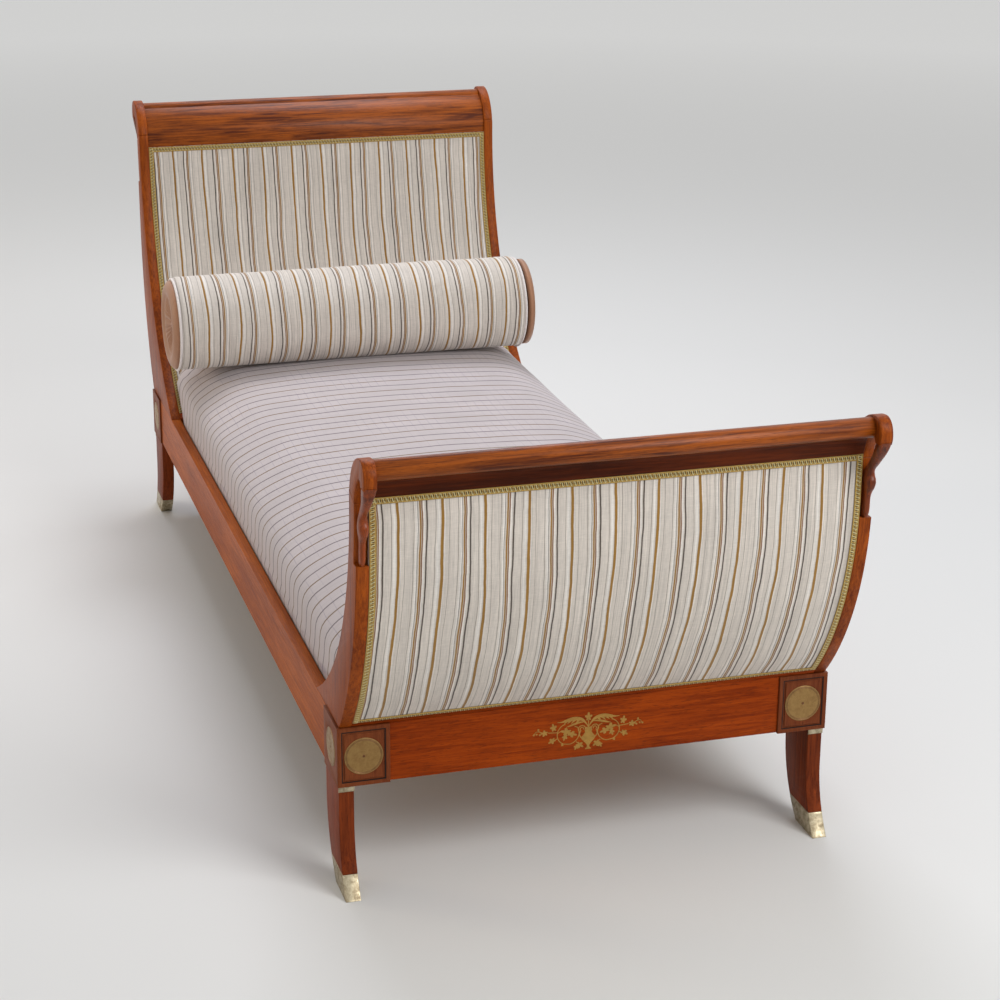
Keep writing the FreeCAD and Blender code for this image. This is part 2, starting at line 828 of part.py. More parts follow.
def make_swans():
    """Carved necks and heads: thinner than the posts, bent down until the beak lies along the post."""
    for end in ENDS:
        corner = scroll_points(end)

        def point(x, drop):
            px, pz = end.scroll(dim(x), dim(drop))
            return FreeCAD.Vector(px.value, 0, pz.value)

        def neck_edge(drop):
            z = end.top - drop
            x = end.out(end.inner(z, dim("neck_wide")))
            return FreeCAD.Vector(x.value, 0, z.value)

        start = FreeCAD.Vector(corner["joint_out"][0].value, 0, corner["joint_out"][1].value)
        last = FreeCAD.Vector(corner["joint_in"][0].value, 0, corner["joint_in"][1].value)
        chin = point(SWAN_CHIN, SIZES["beak_drop"])
        heel = neck_edge(dim("beak_drop"))
        touch = neck_edge(dim(SWAN_TOUCH))
        middle = neck_edge((dim("beak_drop") + SWAN_TOUCH) / 2)
        front = Part.BSplineCurve()
        front.interpolate([start] + [point(*p) for p in SWAN_FRONT + SWAN_BEAK] + [chin])
        back = Part.BSplineCurve()
        back.interpolate([touch] + [point(*p) for p in SWAN_BACK] + [last])
        wire = Part.Wire(
            [
                front.toShape(),
                Part.makeLine(chin, heel),
                Part.Arc(heel, middle, touch).toShape(),
                back.toShape(),
                Part.makeLine(last, start),
            ]
        )
        for side, hand in SIDES:
            name = "%s_swan_%s" % (end.name, side)
            thick = SIZES["swan_thick"]
            face = Part.Face(wire)
            solid = face.extrude(FreeCAD.Vector(0, thick, 0))
            long_edges = [
                e for e in solid.Edges
                if e.Length > SIZES["beak_drop"] / 2 and abs(e.Vertexes[0].Y - e.Vertexes[-1].Y) < 1e-6
            ]
            solid = solid.makeFillet(SIZES["swan_edge"], long_edges)
            solid.translate(FreeCAD.Vector(0, (rail_mid * hand).value - thick / 2, 0))
            thing = doc.addObject("Part::Feature", name)
            thing.Shape = solid
            keep(thing, name)


# How far below its axis a crest roll starts on its board, as a share of the roll's radius
ROLL_ROOT = 0.7


def make_crests():
    """Crest boards hollowed on the inner side, and the round rolls seated in their tops."""
    for end in ENDS:
        turn = end.sign
        inner_arc = back_arc - "board_recess"
        lean = back_arc - "roll_x"
        top_drop = dim("turn_drop") - (inner_arc * inner_arc - lean * lean).root()
        points = [
            end.scroll(dim("board_recess"), dim("board_inner_drop")),
            end.scroll(dim("board_recess"), dim("turn_drop")),
            end.scroll(dim("roll_x"), top_drop),
            end.scroll(dim("roll_x"), dim("roll_drop") + dim("roll_round") * ROLL_ROOT),
            end.scroll(dim("cove_x"), dim("cove_drop")),
            end.scroll(dim("board_face_x"), dim("board_face_drop")),
            end.scroll(dim("board_outer_x"), dim("board_outer_drop")),
            end.scroll(dim("rebate_x"), dim("board_outer_drop")),
            end.scroll(dim("rebate_x"), dim("board_inner_drop")),
        ]
        edges = [None, (inner_arc, -turn), None, None, ("cove_round", turn), None, None, None, None]
        name = end.name + "_crest_board"
        blank = make_plank(name + "_blank", points, edges, rail_in * 2, 0)
        x, z = end.scroll(dim("roll_x"), dim("roll_drop"))
        seat = make_rod(name + "_seat", (x, -rail_in - 1, z), "Y", "roll_round", rail_in * 2 + 2)
        keep(cut(name, blank, [seat]), name)
        name = end.name + "_crest_roll"
        keep(make_rod(name, (x, -rail_in, z), "Y", "roll_round", rail_in * 2), name)


def make_panels():
    """Wooden frames of the upholstered ends, their pads and the braid that covers the edges."""
    inset = dim("pad_recess") + "pad_thick"
    for end in ENDS:
        inner_top = end.top - "board_inner_drop"
        outer_top = end.top - "board_outer_drop"
        name = end.name + "_panel_frame"
        upright = dim("stile_wide")

        def bar(label, low, high, thick, middle):
            return between(
                name + label,
                outer_path(end, low, high, inset),
                inner_path(end, low, high, inset),
                thick,
                middle,
            )

        bars = [
            bar("_rib%d" % i, sill_top, inner_top, upright, (rail_in - upright / 2) * (i / 2 - 1))
            for i in range(5)
        ]
        bars.append(bar("_base", sill_top, sill_top + "panel_rail", rail_in * 2, 0))
        bars.append(bar("_head", inner_top - "panel_rail", inner_top, rail_in * 2, 0))
        keep(fuse(name, bars), name)
        half = rail_in - "pad_gap"
        for face, path, top in (("outer", outer_path, outer_top), ("inner", inner_path, inner_top)):
            name = "%s_%s_pad" % (end.name, face)
            slab = between(
                name + "_slab",
                path(end, sill_top, top, dim("pad_recess")),
                path(end, sill_top, top, inset),
                half * 2,
                0,
            )
            crown = doc.addObject("Part::Feature", name + "_crown")
            crown.Shape = make_crown(end, face, top, half)
            keep(fuse(name, [slab, crown]), name)
            name = "%s_%s_gimp" % (end.name, face)
            under = dim("pad_recess") - "gimp_gap" - "gimp_thick"

            def strip(label, low, high, thick, middle):
                return between(
                    name + label,
                    path(end, low, high, under),
                    path(end, low, high, dim("pad_recess") - "gimp_gap"),
                    thick,
                    middle,
                )

            edge_mid = half - dim("gimp_wide") / 2
            strips = [
                strip("_left", sill_top, top, "gimp_wide", -edge_mid),
                strip("_right", sill_top, top, "gimp_wide", edge_mid),
                strip("_low", sill_top, sill_top + "gimp_low", half * 2, 0),
                strip("_high", top - "gimp_wide", top, half * 2, 0),
            ]
            keep(fuse(name, strips), name)


# Sections of a pad's swell: share of its half width, and share of the full swell there
CROWN_SECTIONS = ((-1, 0.05), (-0.8, 0.75), (0, 1.0), (0.8, 0.75), (1, 0.05))


def make_crown(end, face, top, half):
    """The swell of a pad inside its braid: lens-shaped sections that grow towards the middle."""
    sunk = SIZES["crown_root"]
    low = sill_top + "gimp_low" + "crown_edge"
    high = top - "gimp_wide" - "crown_edge"
    reach_y = (half - "gimp_wide" - "crown_edge").value
    edge = end.outer if face == "outer" else end.inner
    away = 1 if face == "outer" else -1
    bed = dim("pad_recess") + sunk

    def at(z, extra):
        z = dim(z)
        if face == "outer" and z.value > end.outer_z.value:
            x = end.outer_x - bed
        else:
            x = edge(z, bed)
        return FreeCAD.Vector(end.out(x + extra * away).value, 0, z.value)

    sections = []
    for share, swell in CROWN_SECTIONS:
        mid = (low + high) / 2
        rise = SIZES["pad_crown"] * swell
        base = Part.Arc(at(low, 0), at(mid, 0), at(high, 0)).toShape()
        bulge = Part.Arc(at(high, 0), at(mid, sunk + rise), at(low, 0)).toShape()
        wire = Part.Wire([base, bulge])
        wire.translate(FreeCAD.Vector(0, reach_y * share, 0))
        sections.append(wire)
    return Part.makeLoft(sections, True, False)


def make_mattress():
    """The loose mattress: its cross section along the bed, trimmed by the shape of the two ends."""
    half = rail_in - "mattress_gap"
    top = dim("mattress_top")
    right = [
        (half - "hem_round", bed_base),
        (half, bed_base + "hem_round"),
        (half, top - "side_drop"),
        (half - "shoulder_in", top - "shoulder_drop"),
        (half - "slope_in", top - "flat_drop"),
    ]
    left = [(-y, z) for y, z in reversed(right)]
    half_edges = [("hem_round", 1), None, ("shoulder_arc", 1), ("slope_arc", 1)]
    edges = half_edges + [("flat_arc", 1)] + list(reversed(half_edges)) + [None]
    section = make_plank("mattress_section", right + left, edges, dim("frame_length") * 2, 0, "YZ_Plane")
    inset = dim("pad_recess") - "pad_crown" - "end_gap"
    shoulder = top - "end_drop"
    points = []
    edges = []
    for end in ENDS:
        inner_low = end.out(end.inner(rail_top, inset))
        ends = [
            (inner_low, bed_base),
            (inner_low, rail_top),
            (end.out(end.inner(shoulder, inset)), shoulder),
            (end.out(end.inner(shoulder, inset) - "end_run"), top + "crown_spare"),
        ]
        arcs = [None, (end.inner_arc + inset, 1), ("end_arc", 1)]
        if end.sign > 0:
            points += ends
            edges += arcs + [None]
        else:
            points += list(reversed(ends))
            edges += list(reversed(arcs)) + [None]
    profile = make_plank("mattress_profile", points, edges, "frame_width", 0)
    whole = doc.addObject("Part::MultiCommon", "mattress")
    whole.Shapes = [section, profile]
    keep(whole, "mattress")


def make_bolster():
    """The loose bolster: a roll resting on the mattress, with dished end caps and piping."""
    head = ENDS[1]
    x = head.face + "bolster_x"
    z = dim("mattress_top") + "bolster_round" - "bolster_sink"
    middle = dim("bolster_aside")
    end_y = dim("bolster_half") - "cap_deep"
    roll = make_rod("bolster_roll", (x, middle - end_y, z), "Y", "bolster_round", end_y * 2)
    flat = make_box(
        "bolster_flat",
        (x - "bolster_round", middle - end_y - 1, z - dim("bolster_round") - 1),
        (dim("bolster_round") * 2, end_y * 2 + 2, dim("bolster_sink") + 1 + "rest_gap"),
    )
    keep(cut("bolster", roll, [flat]), "bolster")
    caps = []
    pipings = []
    for side, hand in SIDES:
        axis = "Y" if hand > 0 else "-Y"
        disc = make_rod("cap_disc_" + side, (x, middle + end_y * hand, z), axis, "cap_rim", "cap_deep")
        outer_y = middle + dim("bolster_half") * hand
        dish = doc.addObject("Part::Cone", "cap_dish_" + side)
        dish.setExpression("Radius1", dim("button_round").text)
        dish.setExpression("Radius2", dim("cap_ring").text)
        dish.setExpression("Height", dim("cap_dish").text)
        dish.Placement = FreeCAD.Placement(
            FreeCAD.Vector(0, 0, 0), FreeCAD.Rotation(FreeCAD.Vector(1, 0, 0), -90 * hand)
        )
        place(dish, x, outer_y - dim("cap_dish") * hand, z)
        dished = cut("cap_dished_" + side, disc, [dish])
        start = (x, outer_y - (dim("cap_dish") + 1) * hand, z)
        button = make_rod("cap_button_" + side, start, axis, "button_round", dim("button_high") + 1)
        caps.append(fuse("cap_" + side, [dished, button]))
        ring = doc.addObject("Part::Torus", "piping_" + side)
        ring.setExpression("Radius1", (dim("cap_rim") + "rest_gap" + "piping_round").text)
        ring.setExpression("Radius2", dim("piping_round").text)
        lie_across = FreeCAD.Rotation(FreeCAD.Vector(1, 0, 0), 90)
        ring.Placement = FreeCAD.Placement(FreeCAD.Vector(0, 0, 0), lie_across)
        place(ring, x, middle + (end_y + "piping_round") * hand, z)
        pipings.append(ring)
    keep(group("bolster_caps", caps), "bolster_caps")
    keep(group("bolster_piping", pipings), "bolster_piping")


def lens(y0, z0, y1, z1, wide):
    """A leaf: two arcs from its stalk to its tip."""
    length = math.hypot(y1 - y0, z1 - z0)
    ny, nz = -(z1 - z0) / length * wide / 2, (y1 - y0) / length * wide / 2
    mid_y, mid_z = (y0 + y1) / 2, (z0 + z1) / 2
    stalk, tip = FreeCAD.Vector(0, y0, z0), FreeCAD.Vector(0, y1, z1)
    one = Part.Arc(stalk, FreeCAD.Vector(0, mid_y + ny, mid_z + nz), tip).toShape()
    two = Part.Arc(tip, FreeCAD.Vector(0, mid_y - ny, mid_z - nz), stalk).toShape()
    return Part.Face(Part.Wire([one, two]))


def tendril(cy, cz, radius, first, last, wide):
    """A strip of brass bent along an arc, between two angles in degrees."""
    def at(r, angle):
        turn = math.radians(angle)
        return FreeCAD.Vector(0, cy + r * math.cos(turn), cz + r * math.sin(turn))

    mid = (first + last) / 2
    big, small = radius + wide / 2, radius - wide / 2
    outer = Part.Arc(at(big, first), at(big, mid), at(big, last)).toShape()
    inner = Part.Arc(at(small, last), at(small, mid), at(small, first)).toShape()
    return Part.Face(
        Part.Wire(
            [
                outer, Part.makeLine(at(big, last), at(small, last)),
                inner, Part.makeLine(at(small, first), at(big, first)),
            ]
        )
    )


# Half outline of the urn, from its foot to its lip: across from the middle and up from its foot
URN = [(12, 0), (12, 2.5), (4, 6), (4, 9), (13, 22), (13, 27), (5, 42), (5, 45), (7.5, 48)]

# Right half of the vine: arcs as centre, radius, two angles and width; leaves as stalk, tip and width
VINE_ARCS = [
    (14, 46, 6.5, -150, 60, 1.8),
    (14, 46, 3.4, 40, 250, 1.5),
    (52, 34, 22, -170, 0, 1.5),
    (52, 34, 22, -20, 170, 1.5),
    (84, 46, 16, -140, -40, 1.4),
]
VINE_LEAVES = [
    (8, 50, 40, 64, 8),
    (30, 60, 62, 56, 7),
    (46, 62, 70, 66, 5),
    (40, 34, 62, 38, 10),
    (46, 30, 54, 46, 8),
    (46, 34, 58, 26, 8),
    (22, 2, 34, 12, 8),
    (30, 14, 30, 2, 7),
    (70, 20, 80, 8, 7),
    (74, 16, 66, 6, 6),
    (82, 34, 92, 46, 7),
    (88, 34, 100, 40, 5),
    (84, 32, 94, 24, 6),
    (76, 50, 84, 60, 6),
]


def make_marquetry():
    """Brass urn with palmette, scrolls and vines, set on the middle of the foot apron."""
    foot = ENDS[0]
    half = [FreeCAD.Vector(0, y, z) for y, z in URN]
    other = [FreeCAD.Vector(0, -y, z) for y, z in reversed(URN)]
    outline = half + other
    faces = [Part.Face(Part.makePolygon(outline + [outline[0]]))]
    faces += [lens(0, 47, 0, 72, 9), lens(0, 50, 9, 65, 5), lens(0, 50, -9, 65, 5)]
    for hand in (1, -1):
        for cy, cz, radius, first, last, wide in VINE_ARCS:
            if hand > 0:
                faces.append(tendril(cy, cz, radius, first, last, wide))
            else:
                faces.append(tendril(-cy, cz, radius, 180 - last, 180 - first, wide))
        faces += [lens(y0 * hand, z0, y1 * hand, z1, wide) for y0, z0, y1, z1, wide in VINE_LEAVES]
    solids = [face.extrude(FreeCAD.Vector(SIZES["inlay_thick"], 0, 0)) for face in faces]
    shape = solids[0].multiFuse(solids[1:]).removeSplitter()
    base = dim("leg_high") + "inlay_lift"
    shape.translate(FreeCAD.Vector(foot.out(-dim("block_proud")).value, 0, base.value))
    thing = doc.addObject("Part::Feature", "brass_marquetry")
    thing.Shape = shape
    keep(thing, "brass_marquetry")


make_blocks()
make_dowels()
make_rails()
make_slats()
make_brackets()
make_legs()
make_posts()
make_swans()
make_crests()
make_panels()
make_mattress()
make_bolster()
make_marquetry()
doc.recompute()

failed = [thing.Name for thing in doc.Objects if "Invalid" in thing.State or "Error" in thing.State]
if failed:
    raise SystemExit("these objects failed: " + ", ".join(failed))
os.makedirs("parts", exist_ok=True)
for thing in NODES:
    shape = thing.Shape
    if shape.isNull() or not shape.isValid() or not shape.Solids:
        raise SystemExit(thing.Label + " has no valid solid")
    shape.exportStep("parts/%s.step" % thing.Label)
print(len(NODES), "sub-parts written")
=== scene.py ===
import math

import bmesh
import bpy
from mathutils import Matrix, Vector, noise


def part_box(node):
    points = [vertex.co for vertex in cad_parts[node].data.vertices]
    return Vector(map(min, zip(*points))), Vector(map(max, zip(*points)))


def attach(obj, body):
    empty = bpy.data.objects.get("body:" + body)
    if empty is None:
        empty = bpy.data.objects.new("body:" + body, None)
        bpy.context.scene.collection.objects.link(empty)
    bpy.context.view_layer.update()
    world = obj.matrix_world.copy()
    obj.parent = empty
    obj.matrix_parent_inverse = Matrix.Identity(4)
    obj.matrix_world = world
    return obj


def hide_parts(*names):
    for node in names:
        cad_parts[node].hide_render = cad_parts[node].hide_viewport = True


# Swan-neck daybed. X runs along the bed with the foot end at +X, Y across it, Z up. Metres.
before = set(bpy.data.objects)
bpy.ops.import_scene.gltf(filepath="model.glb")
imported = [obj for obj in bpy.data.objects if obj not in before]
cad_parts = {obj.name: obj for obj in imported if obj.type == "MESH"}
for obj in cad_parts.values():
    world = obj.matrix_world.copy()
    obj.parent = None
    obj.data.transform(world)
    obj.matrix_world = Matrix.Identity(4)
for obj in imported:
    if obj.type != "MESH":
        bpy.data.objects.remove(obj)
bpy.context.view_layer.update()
scene = bpy.context.scene

# Sizes that the finished pieces share with the frame
RAIL_TOP = 0.310
SILL_TOP = 0.3195
RAIL_IN = 0.424
RAIL_MID = 0.435
BLOCK_MID = 0.4038
BLOCK_HALF_DEEP = 0.0525
BLOCK_MID_Z = 0.255
PAD_RECESS = 0.003
PAD_THICK = 0.012
PAD_CROWN = 0.006
PAD_GAP = 0.0003
GIMP_WIDE = 0.0116
GIMP_LOW = 0.0085
TAPE_THICK = 0.0008
BED_TOP = 0.457
FRAME_HALF = 0.450
TURN_DROP = 0.082
BOARD_DROP = {"inner": 0.097, "outer": 0.072}
BOLSTER_MIDDLE = Vector((-0.724, -0.026, 0.557))
BOLSTER_ROUND = 0.1105
BOLSTER_HALF = 0.429
BOLSTER_EASE = 0.012
CAP_RIM = 0.1022
CAP_DEEP = 0.020
PIPING_RING = 0.1055
ROLL_OUT = 0.068
ROLL_DROP = 0.0185
ROLL_SWELL = 1.12
SCROLL_LIFT = 0.006
INLAY_FACE = 1.0150
INLAY_LOW = 0.215
INLAY_SCALE = 0.00106

# Edges that turn more than this many degrees are rounded over
SHARP_ANGLE = 32
# How stiff the simulated covers are, and how many frames they swell
CLOTH_STIFFNESS = 12.0
CLOTH_FRAMES = 14


class End:
    """One end of the bed: the arcs of its posts, which the boards, pads and braid follow."""

    def __init__(self, name, sign, face, top, neck, inner_arc, outer_x, outer_arc, outer_drop):
        self.name, self.sign, self.face, self.top, self.neck = name, sign, face, top, neck
        self.inner_arc, self.outer_x, self.outer_arc = inner_arc, outer_x, outer_arc
        self.inner_z = top - TURN_DROP
        self.outer_z = top - outer_drop

    def arc(self, side):
        """How far out its centre lies, its height and its radius: the inner or outer edge of the posts."""
        if side == "inner":
            return self.neck - self.inner_arc, self.inner_z, self.inner_arc
        return self.outer_x - self.outer_arc, self.outer_z, self.outer_arc

    def spot(self, side, z, y, sunk):
        """A point of an edge's surface and the way out of the wood there, sunk below that surface."""
        middle, level, radius = self.arc(side)
        if side == "outer" and z > level:
            away = Vector((self.sign, 0, 0))
            edge = Vector((self.face + self.sign * self.outer_x, y, z))
            return edge - away * sunk, away
        reach = radius - sunk if side == "outer" else radius + sunk
        angle = math.asin((z - level) / reach)
        ray = Vector((self.sign * math.cos(angle), 0, math.sin(angle)))
        away = ray if side == "outer" else -ray
        return Vector((self.face + self.sign * middle, y, level)) + ray * reach, away

    def scroll(self, x, drop, y):
        """A point of the scroll: out from the inner edge of the neck and down from its top."""
        return Vector((self.face + self.sign * (self.neck + x), y, self.top - drop))


FOOT = End("foot", 1, 1.019, 0.842, 0.100, 0.500, 0.144, 0.560, 0.152)
HEAD = End("head", -1, -1.045, 0.993, 0.074, 0.695, 0.120, 0.700, 0.303)
ENDS = (FOOT, HEAD)
SIDES = (("left", -1), ("right", 1))


# Finishes


def srgb(red, green, blue):
    """A colour written as the eye sees it, 0 to 255."""
    parts = [c / 255 for c in (red, green, blue)]
    return tuple(c / 12.92 if c <= 0.04045 else ((c + 0.055) / 1.055) ** 2.4 for c in parts) + (1.0,)


class Web:
    """Lays out the nodes of one material or group."""

    def __init__(self, tree):
        self.tree = tree

    def feed(self, socket, value):
        if isinstance(value, bpy.types.NodeSocket):
            self.tree.links.new(value, socket)
        else:
            socket.default_value = value

    def node(self, kind, inputs=(), **settings):
        """A new node with these settings; inputs says what each is fed, by its label or its number."""
        made = self.tree.nodes.new(kind)
        for name, value in settings.items():
            setattr(made, name, value)
        for socket, value in dict(inputs).items():
            self.feed(made.inputs[socket], value)
        return made

    def math(self, kind, *values, clamp=False):
        return self.node("ShaderNodeMath", enumerate(values), operation=kind, use_clamp=clamp).outputs[0]

    def add(self, one, two, clamp=False):
        return self.math("ADD", one, two, clamp=clamp)

    def less(self, one, two):
        return self.math("SUBTRACT", one, two)

    def times(self, one, two):
        return self.math("MULTIPLY", one, two)

    def vector(self, kind, one, two):
        return self.node("ShaderNodeVectorMath", {0: one, 1: two}, operation=kind).outputs[0]

    def mix(self, share, one, two, kind="MIX"):
        inputs = {0: share, 6: one, 7: two}
        return self.node("ShaderNodeMix", inputs, data_type="RGBA", blend_type=kind).outputs[2]

    def span(self, value, low, high, to_low=0.0, to_high=1.0):
        numbers = enumerate((value, low, high, to_low, to_high))
        return self.node("ShaderNodeMapRange", numbers).outputs[0]

    def noise(self, place, scale, detail=2.0, rough=0.5, warp=0.0):
        labels = ("Vector", "Scale", "Detail", "Roughness", "Distortion")
        numbers = zip(labels, (place, scale, detail, rough, warp))
        return self.node("ShaderNodeTexNoise", numbers).outputs[0]

    def long_noise(self, place, stretch, *settings):
        """Noise with its own fineness along each axis."""
        return self.noise(self.vector("MULTIPLY", place, stretch), 1.0, *settings)

    def ramp(self, share, stops):
        made = self.node("ShaderNodeValToRGB", {0: share})
        marks = made.color_ramp.elements
        while len(marks) < len(stops):
            marks.new(0.5)
        for mark, (spot, colour) in zip(marks, stops):
            mark.position, mark.color = spot, colour
        return made.outputs[0]

    def split(self, place):
        return self.node("ShaderNodeSeparateXYZ", {0: place}).outputs

    def group(self, tree, **values):
        return self.node("ShaderNodeGroup", values, node_tree=tree).outputs

    def place(self, turn=(0, 0, 0)):
        """Where a point lies on the bed, turned for a pattern."""
        spot = self.node("ShaderNodeTexCoord").outputs["Object"]
        turned = [math.radians(angle) for angle in turn]
        return self.node("ShaderNodeMapping", {"Vector": spot, "Rotation": turned}).outputs[0]


def new_group(name, inputs, outputs, kind="ShaderNodeTree"):
    """An empty node group with its sockets, as its web, its inputs and its outputs."""
    tree = bpy.data.node_groups.new(name, kind)
    for way, sockets in (("INPUT", inputs), ("OUTPUT", outputs)):
        for label, form in sockets.items():
            tree.interface.new_socket(label, in_out=way, socket_type="NodeSocket" + form)
    web = Web(tree)
    return web, web.node("NodeGroupInput").outputs, web.node("NodeGroupOutput").inputs


def new_finish(name, **numbers):
    """A material with these plain numbers set on its shader."""
    finish = bpy.data.materials.new(name)
    finish.use_nodes = True
    shader = finish.node_tree.nodes["Principled BSDF"]
    for label, value in numbers.items():
        shader.inputs[label.replace("_", " ")].default_value = value
    return finish, Web(finish.node_tree), shader.inputs


def dress(web, shader, colour, rough, height, depth, strength):
    """Feeds a finish its colour, its roughness and its relief, whose depth is in metres."""
    bump = web.node("ShaderNodeBump", {"Strength": strength, "Distance": depth, "Height": height})
    for label, value in (("Base Color", colour), ("Roughness", rough), ("Normal", bump.outputs[0])):
        web.feed(shader[label], value)


# What the shader groups of wood and brass give to a finish
SURFACE = dict(Color="Color", Roughness="Float", Height="Float")


def make_grain_group():
    """Mahogany figure: long streaks, soft clouds, short dark pores. The grain runs along X of Place."""
    web, given, out = new_group(
        "mahogany_grain",
        dict(Place="Vector", Pale="Color", Dark="Color", Streaks="Float", Clouds="Float", Gloss="Float"),
        SURFACE,
    )
    place = given["Place"]
    clouds = web.long_noise(place, (2.2, 9, 9), 3.0, 0.55, 0.8)
    waves = web.long_noise(place, (4, 60, 60), 4.0, 0.62, 1.6)
    streaks = web.long_noise(place, (9, 260, 260), 3.0, 0.62, 0.6)
    fibres = web.long_noise(place, (26, 900, 900), 2.0, 0.6)
    dashes = web.long_noise(place, (75, 1500, 1500), 1.0, 0.4)
    pores = web.span(dashes, 0.61, 0.70)
    soft = web.times(web.less(clouds, 0.5), web.times(given["Clouds"], 1.5))
    long = web.add(web.less(streaks, 0.5), web.less(waves, 0.5))
    long = web.times(long, web.times(given["Streaks"], 1.7))
    share = web.add(web.add(soft, long), 0.55, clamp=True)
    colour = web.mix(share, given["Dark"], given["Pale"])
    colour = web.mix(web.times(web.span(fibres, 0.45, 0.75), 0.22), colour, given["Dark"])
    colour = web.mix(web.times(pores, 0.55), colour, srgb(48, 20, 10))
    web.feed(out["Color"], colour)
    web.feed(out["Roughness"], web.add(given["Gloss"], web.times(fibres, 0.16)))
    web.feed(out["Height"], web.less(web.times(streaks, 0.35), pores))
    return web.tree


def make_weave_group():
    """Threads of a cloth: the warp crosses X of Place, the weft runs along it."""
    web, given, out = new_group(
        "cloth_threads", dict(Place="Vector", Contrast="Float"), dict(Tone="Color", Height="Float")
    )
    warp = web.long_noise(given["Place"], (820, 46, 46), 2.0, 0.6)
    weft = web.long_noise(given["Place"], (70, 760, 760), 2.0, 0.6)
    slubs = web.long_noise(given["Place"], (430, 4, 4), 2.0, 0.6)
    worn = web.noise(given["Place"], 9.0, 4.0, 0.6)
    total = web.add(web.times(warp, 0.32), web.times(weft, 0.22))
    total = web.add(total, web.times(slubs, 0.46))
    shade = web.times(web.less(total, 0.5), web.times(given["Contrast"], 5.0))
    shade = web.add(web.add(shade, 1.0), web.span(worn, 0.3, 0.7, -0.05, 0.05))
    tone = web.node("ShaderNodeCombineColor", {0: shade, 1: shade, 2: shade})
    web.feed(out["Tone"], tone.outputs[0])
    web.feed(out["Height"], total)
    return web.tree


# Stripes of the upholstery cloth over one repeat: millimetres across, then the thread
CLOTH = srgb(206, 197, 187)
BRIGHT = srgb(228, 222, 215)
GOLD = srgb(146, 106, 34)
BROWN = srgb(124, 82, 44)
SMOKE = srgb(126, 114, 102)
COAL = srgb(72, 60, 50)
STRIPE_REPEAT = 73.2
END_STRIPES = [
    (0, GOLD), (2.0, GOLD), (2.9, BRIGHT), (4.6, CLOTH), (10.3, CLOTH), (11.0, SMOKE), (11.7, CLOTH),
    (25.2, CLOTH), (26.0, SMOKE), (26.8, CLOTH), (31.8, BRIGHT), (32.7, COAL), (33.5, CLOTH), (35.2, CLOTH),
    (35.9, GOLD), (37.9, GOLD), (38.7, CLOTH), (39.5, BROWN), (40.8, BROWN), (41.6, BRIGHT), (45.6, CLOTH),
    (46.8, COAL), (48.4, COAL), (49.3, CLOTH), (61.2, CLOTH), (62.0, SMOKE), (62.8, CLOTH), (66.6, BRIGHT),
    (70.4, CLOTH), (71.3, GOLD), (73.2, GOLD),
]


def make_stripe_group():
    """Colours of the striped upholstery cloth, from the distance across the stripes."""
    web, given, out = new_group(
        "upholstery_stripes", dict(Across="Float", Repeat="Float"), dict(Color="Color")
    )
    share = web.math("FRACT", web.math("DIVIDE", given["Across"], given["Repeat"]))
    stops = [(spot / STRIPE_REPEAT, colour) for spot, colour in END_STRIPES]
    web.feed(out["Color"], web.ramp(share, stops))
    return web.tree


def make_patina_group():
    """Old brass: dull brown patches on worn yellow metal, with fine scratches."""
    web, given, out = new_group(
        "brass_patina", dict(Place="Vector", Metal="Color", Tarnish="Color", Amount="Float"), SURFACE
    )
    blots = web.noise(given["Place"], 95.0, 5.0, 0.65, 0.5)
    specks = web.noise(given["Place"], 520.0, 2.0, 0.6)
    share = web.times(web.span(blots, 0.38, 0.66), given["Amount"])
    share = web.add(share, web.times(web.span(specks, 0.55, 0.7), 0.3), clamp=True)
    web.feed(out["Color"], web.mix(share, given["Metal"], given["Tarnish"]))
    web.feed(out["Roughness"], web.span(share, 0, 1, 0.30, 0.58))
    web.feed(out["Height"], web.add(specks, blots))
    return web.tree


GRAIN = make_grain_group()
THREADS = make_weave_group()
STRIPES = make_stripe_group()
PATINA = make_patina_group()

# Turns that bring the way of the grain, or across the stripes, to X
ALONG_X = (0, 0, 0)
ALONG_Y = (0, 0, -90)
ALONG_Z = (0, 90, 0)


def wood(name, turn, pale, dark, streaks, clouds, gloss, shine=0.2):
    finish, web, shader = new_finish(name, Specular_IOR_Level=shine)
    made = web.group(
        GRAIN, Place=web.place(turn), Pale=srgb(*pale), Dark=srgb(*dark), Streaks=streaks, Clouds=clouds,
        Gloss=gloss,
    )
    dress(web, shader, made["Color"], made["Roughness"], made["Height"], 0.00012, 0.5)
    return finish


def brass(name, metal, tarnish, amount, metallic=1.0):
    finish, web, shader = new_finish(name, Metallic=metallic)
    made = web.group(PATINA, Place=web.place(), Metal=srgb(*metal), Tarnish=srgb(*tarnish), Amount=amount)
    dress(web, shader, made["Color"], made["Roughness"], made["Height"], 0.0002, 0.4)
    return finish


def weave_over(web, shader, place, colour, contrast, rough, depth, strength=0.6):
    """Gives a cloth its colour and its threads."""
    threads = web.group(THREADS, Place=place, Contrast=contrast)
    colour = web.mix(1.0, colour, threads["Tone"], "MULTIPLY")
    dress(web, shader, colour, rough, threads["Height"], depth, strength)


CLOTH_ROUGH = 0.85


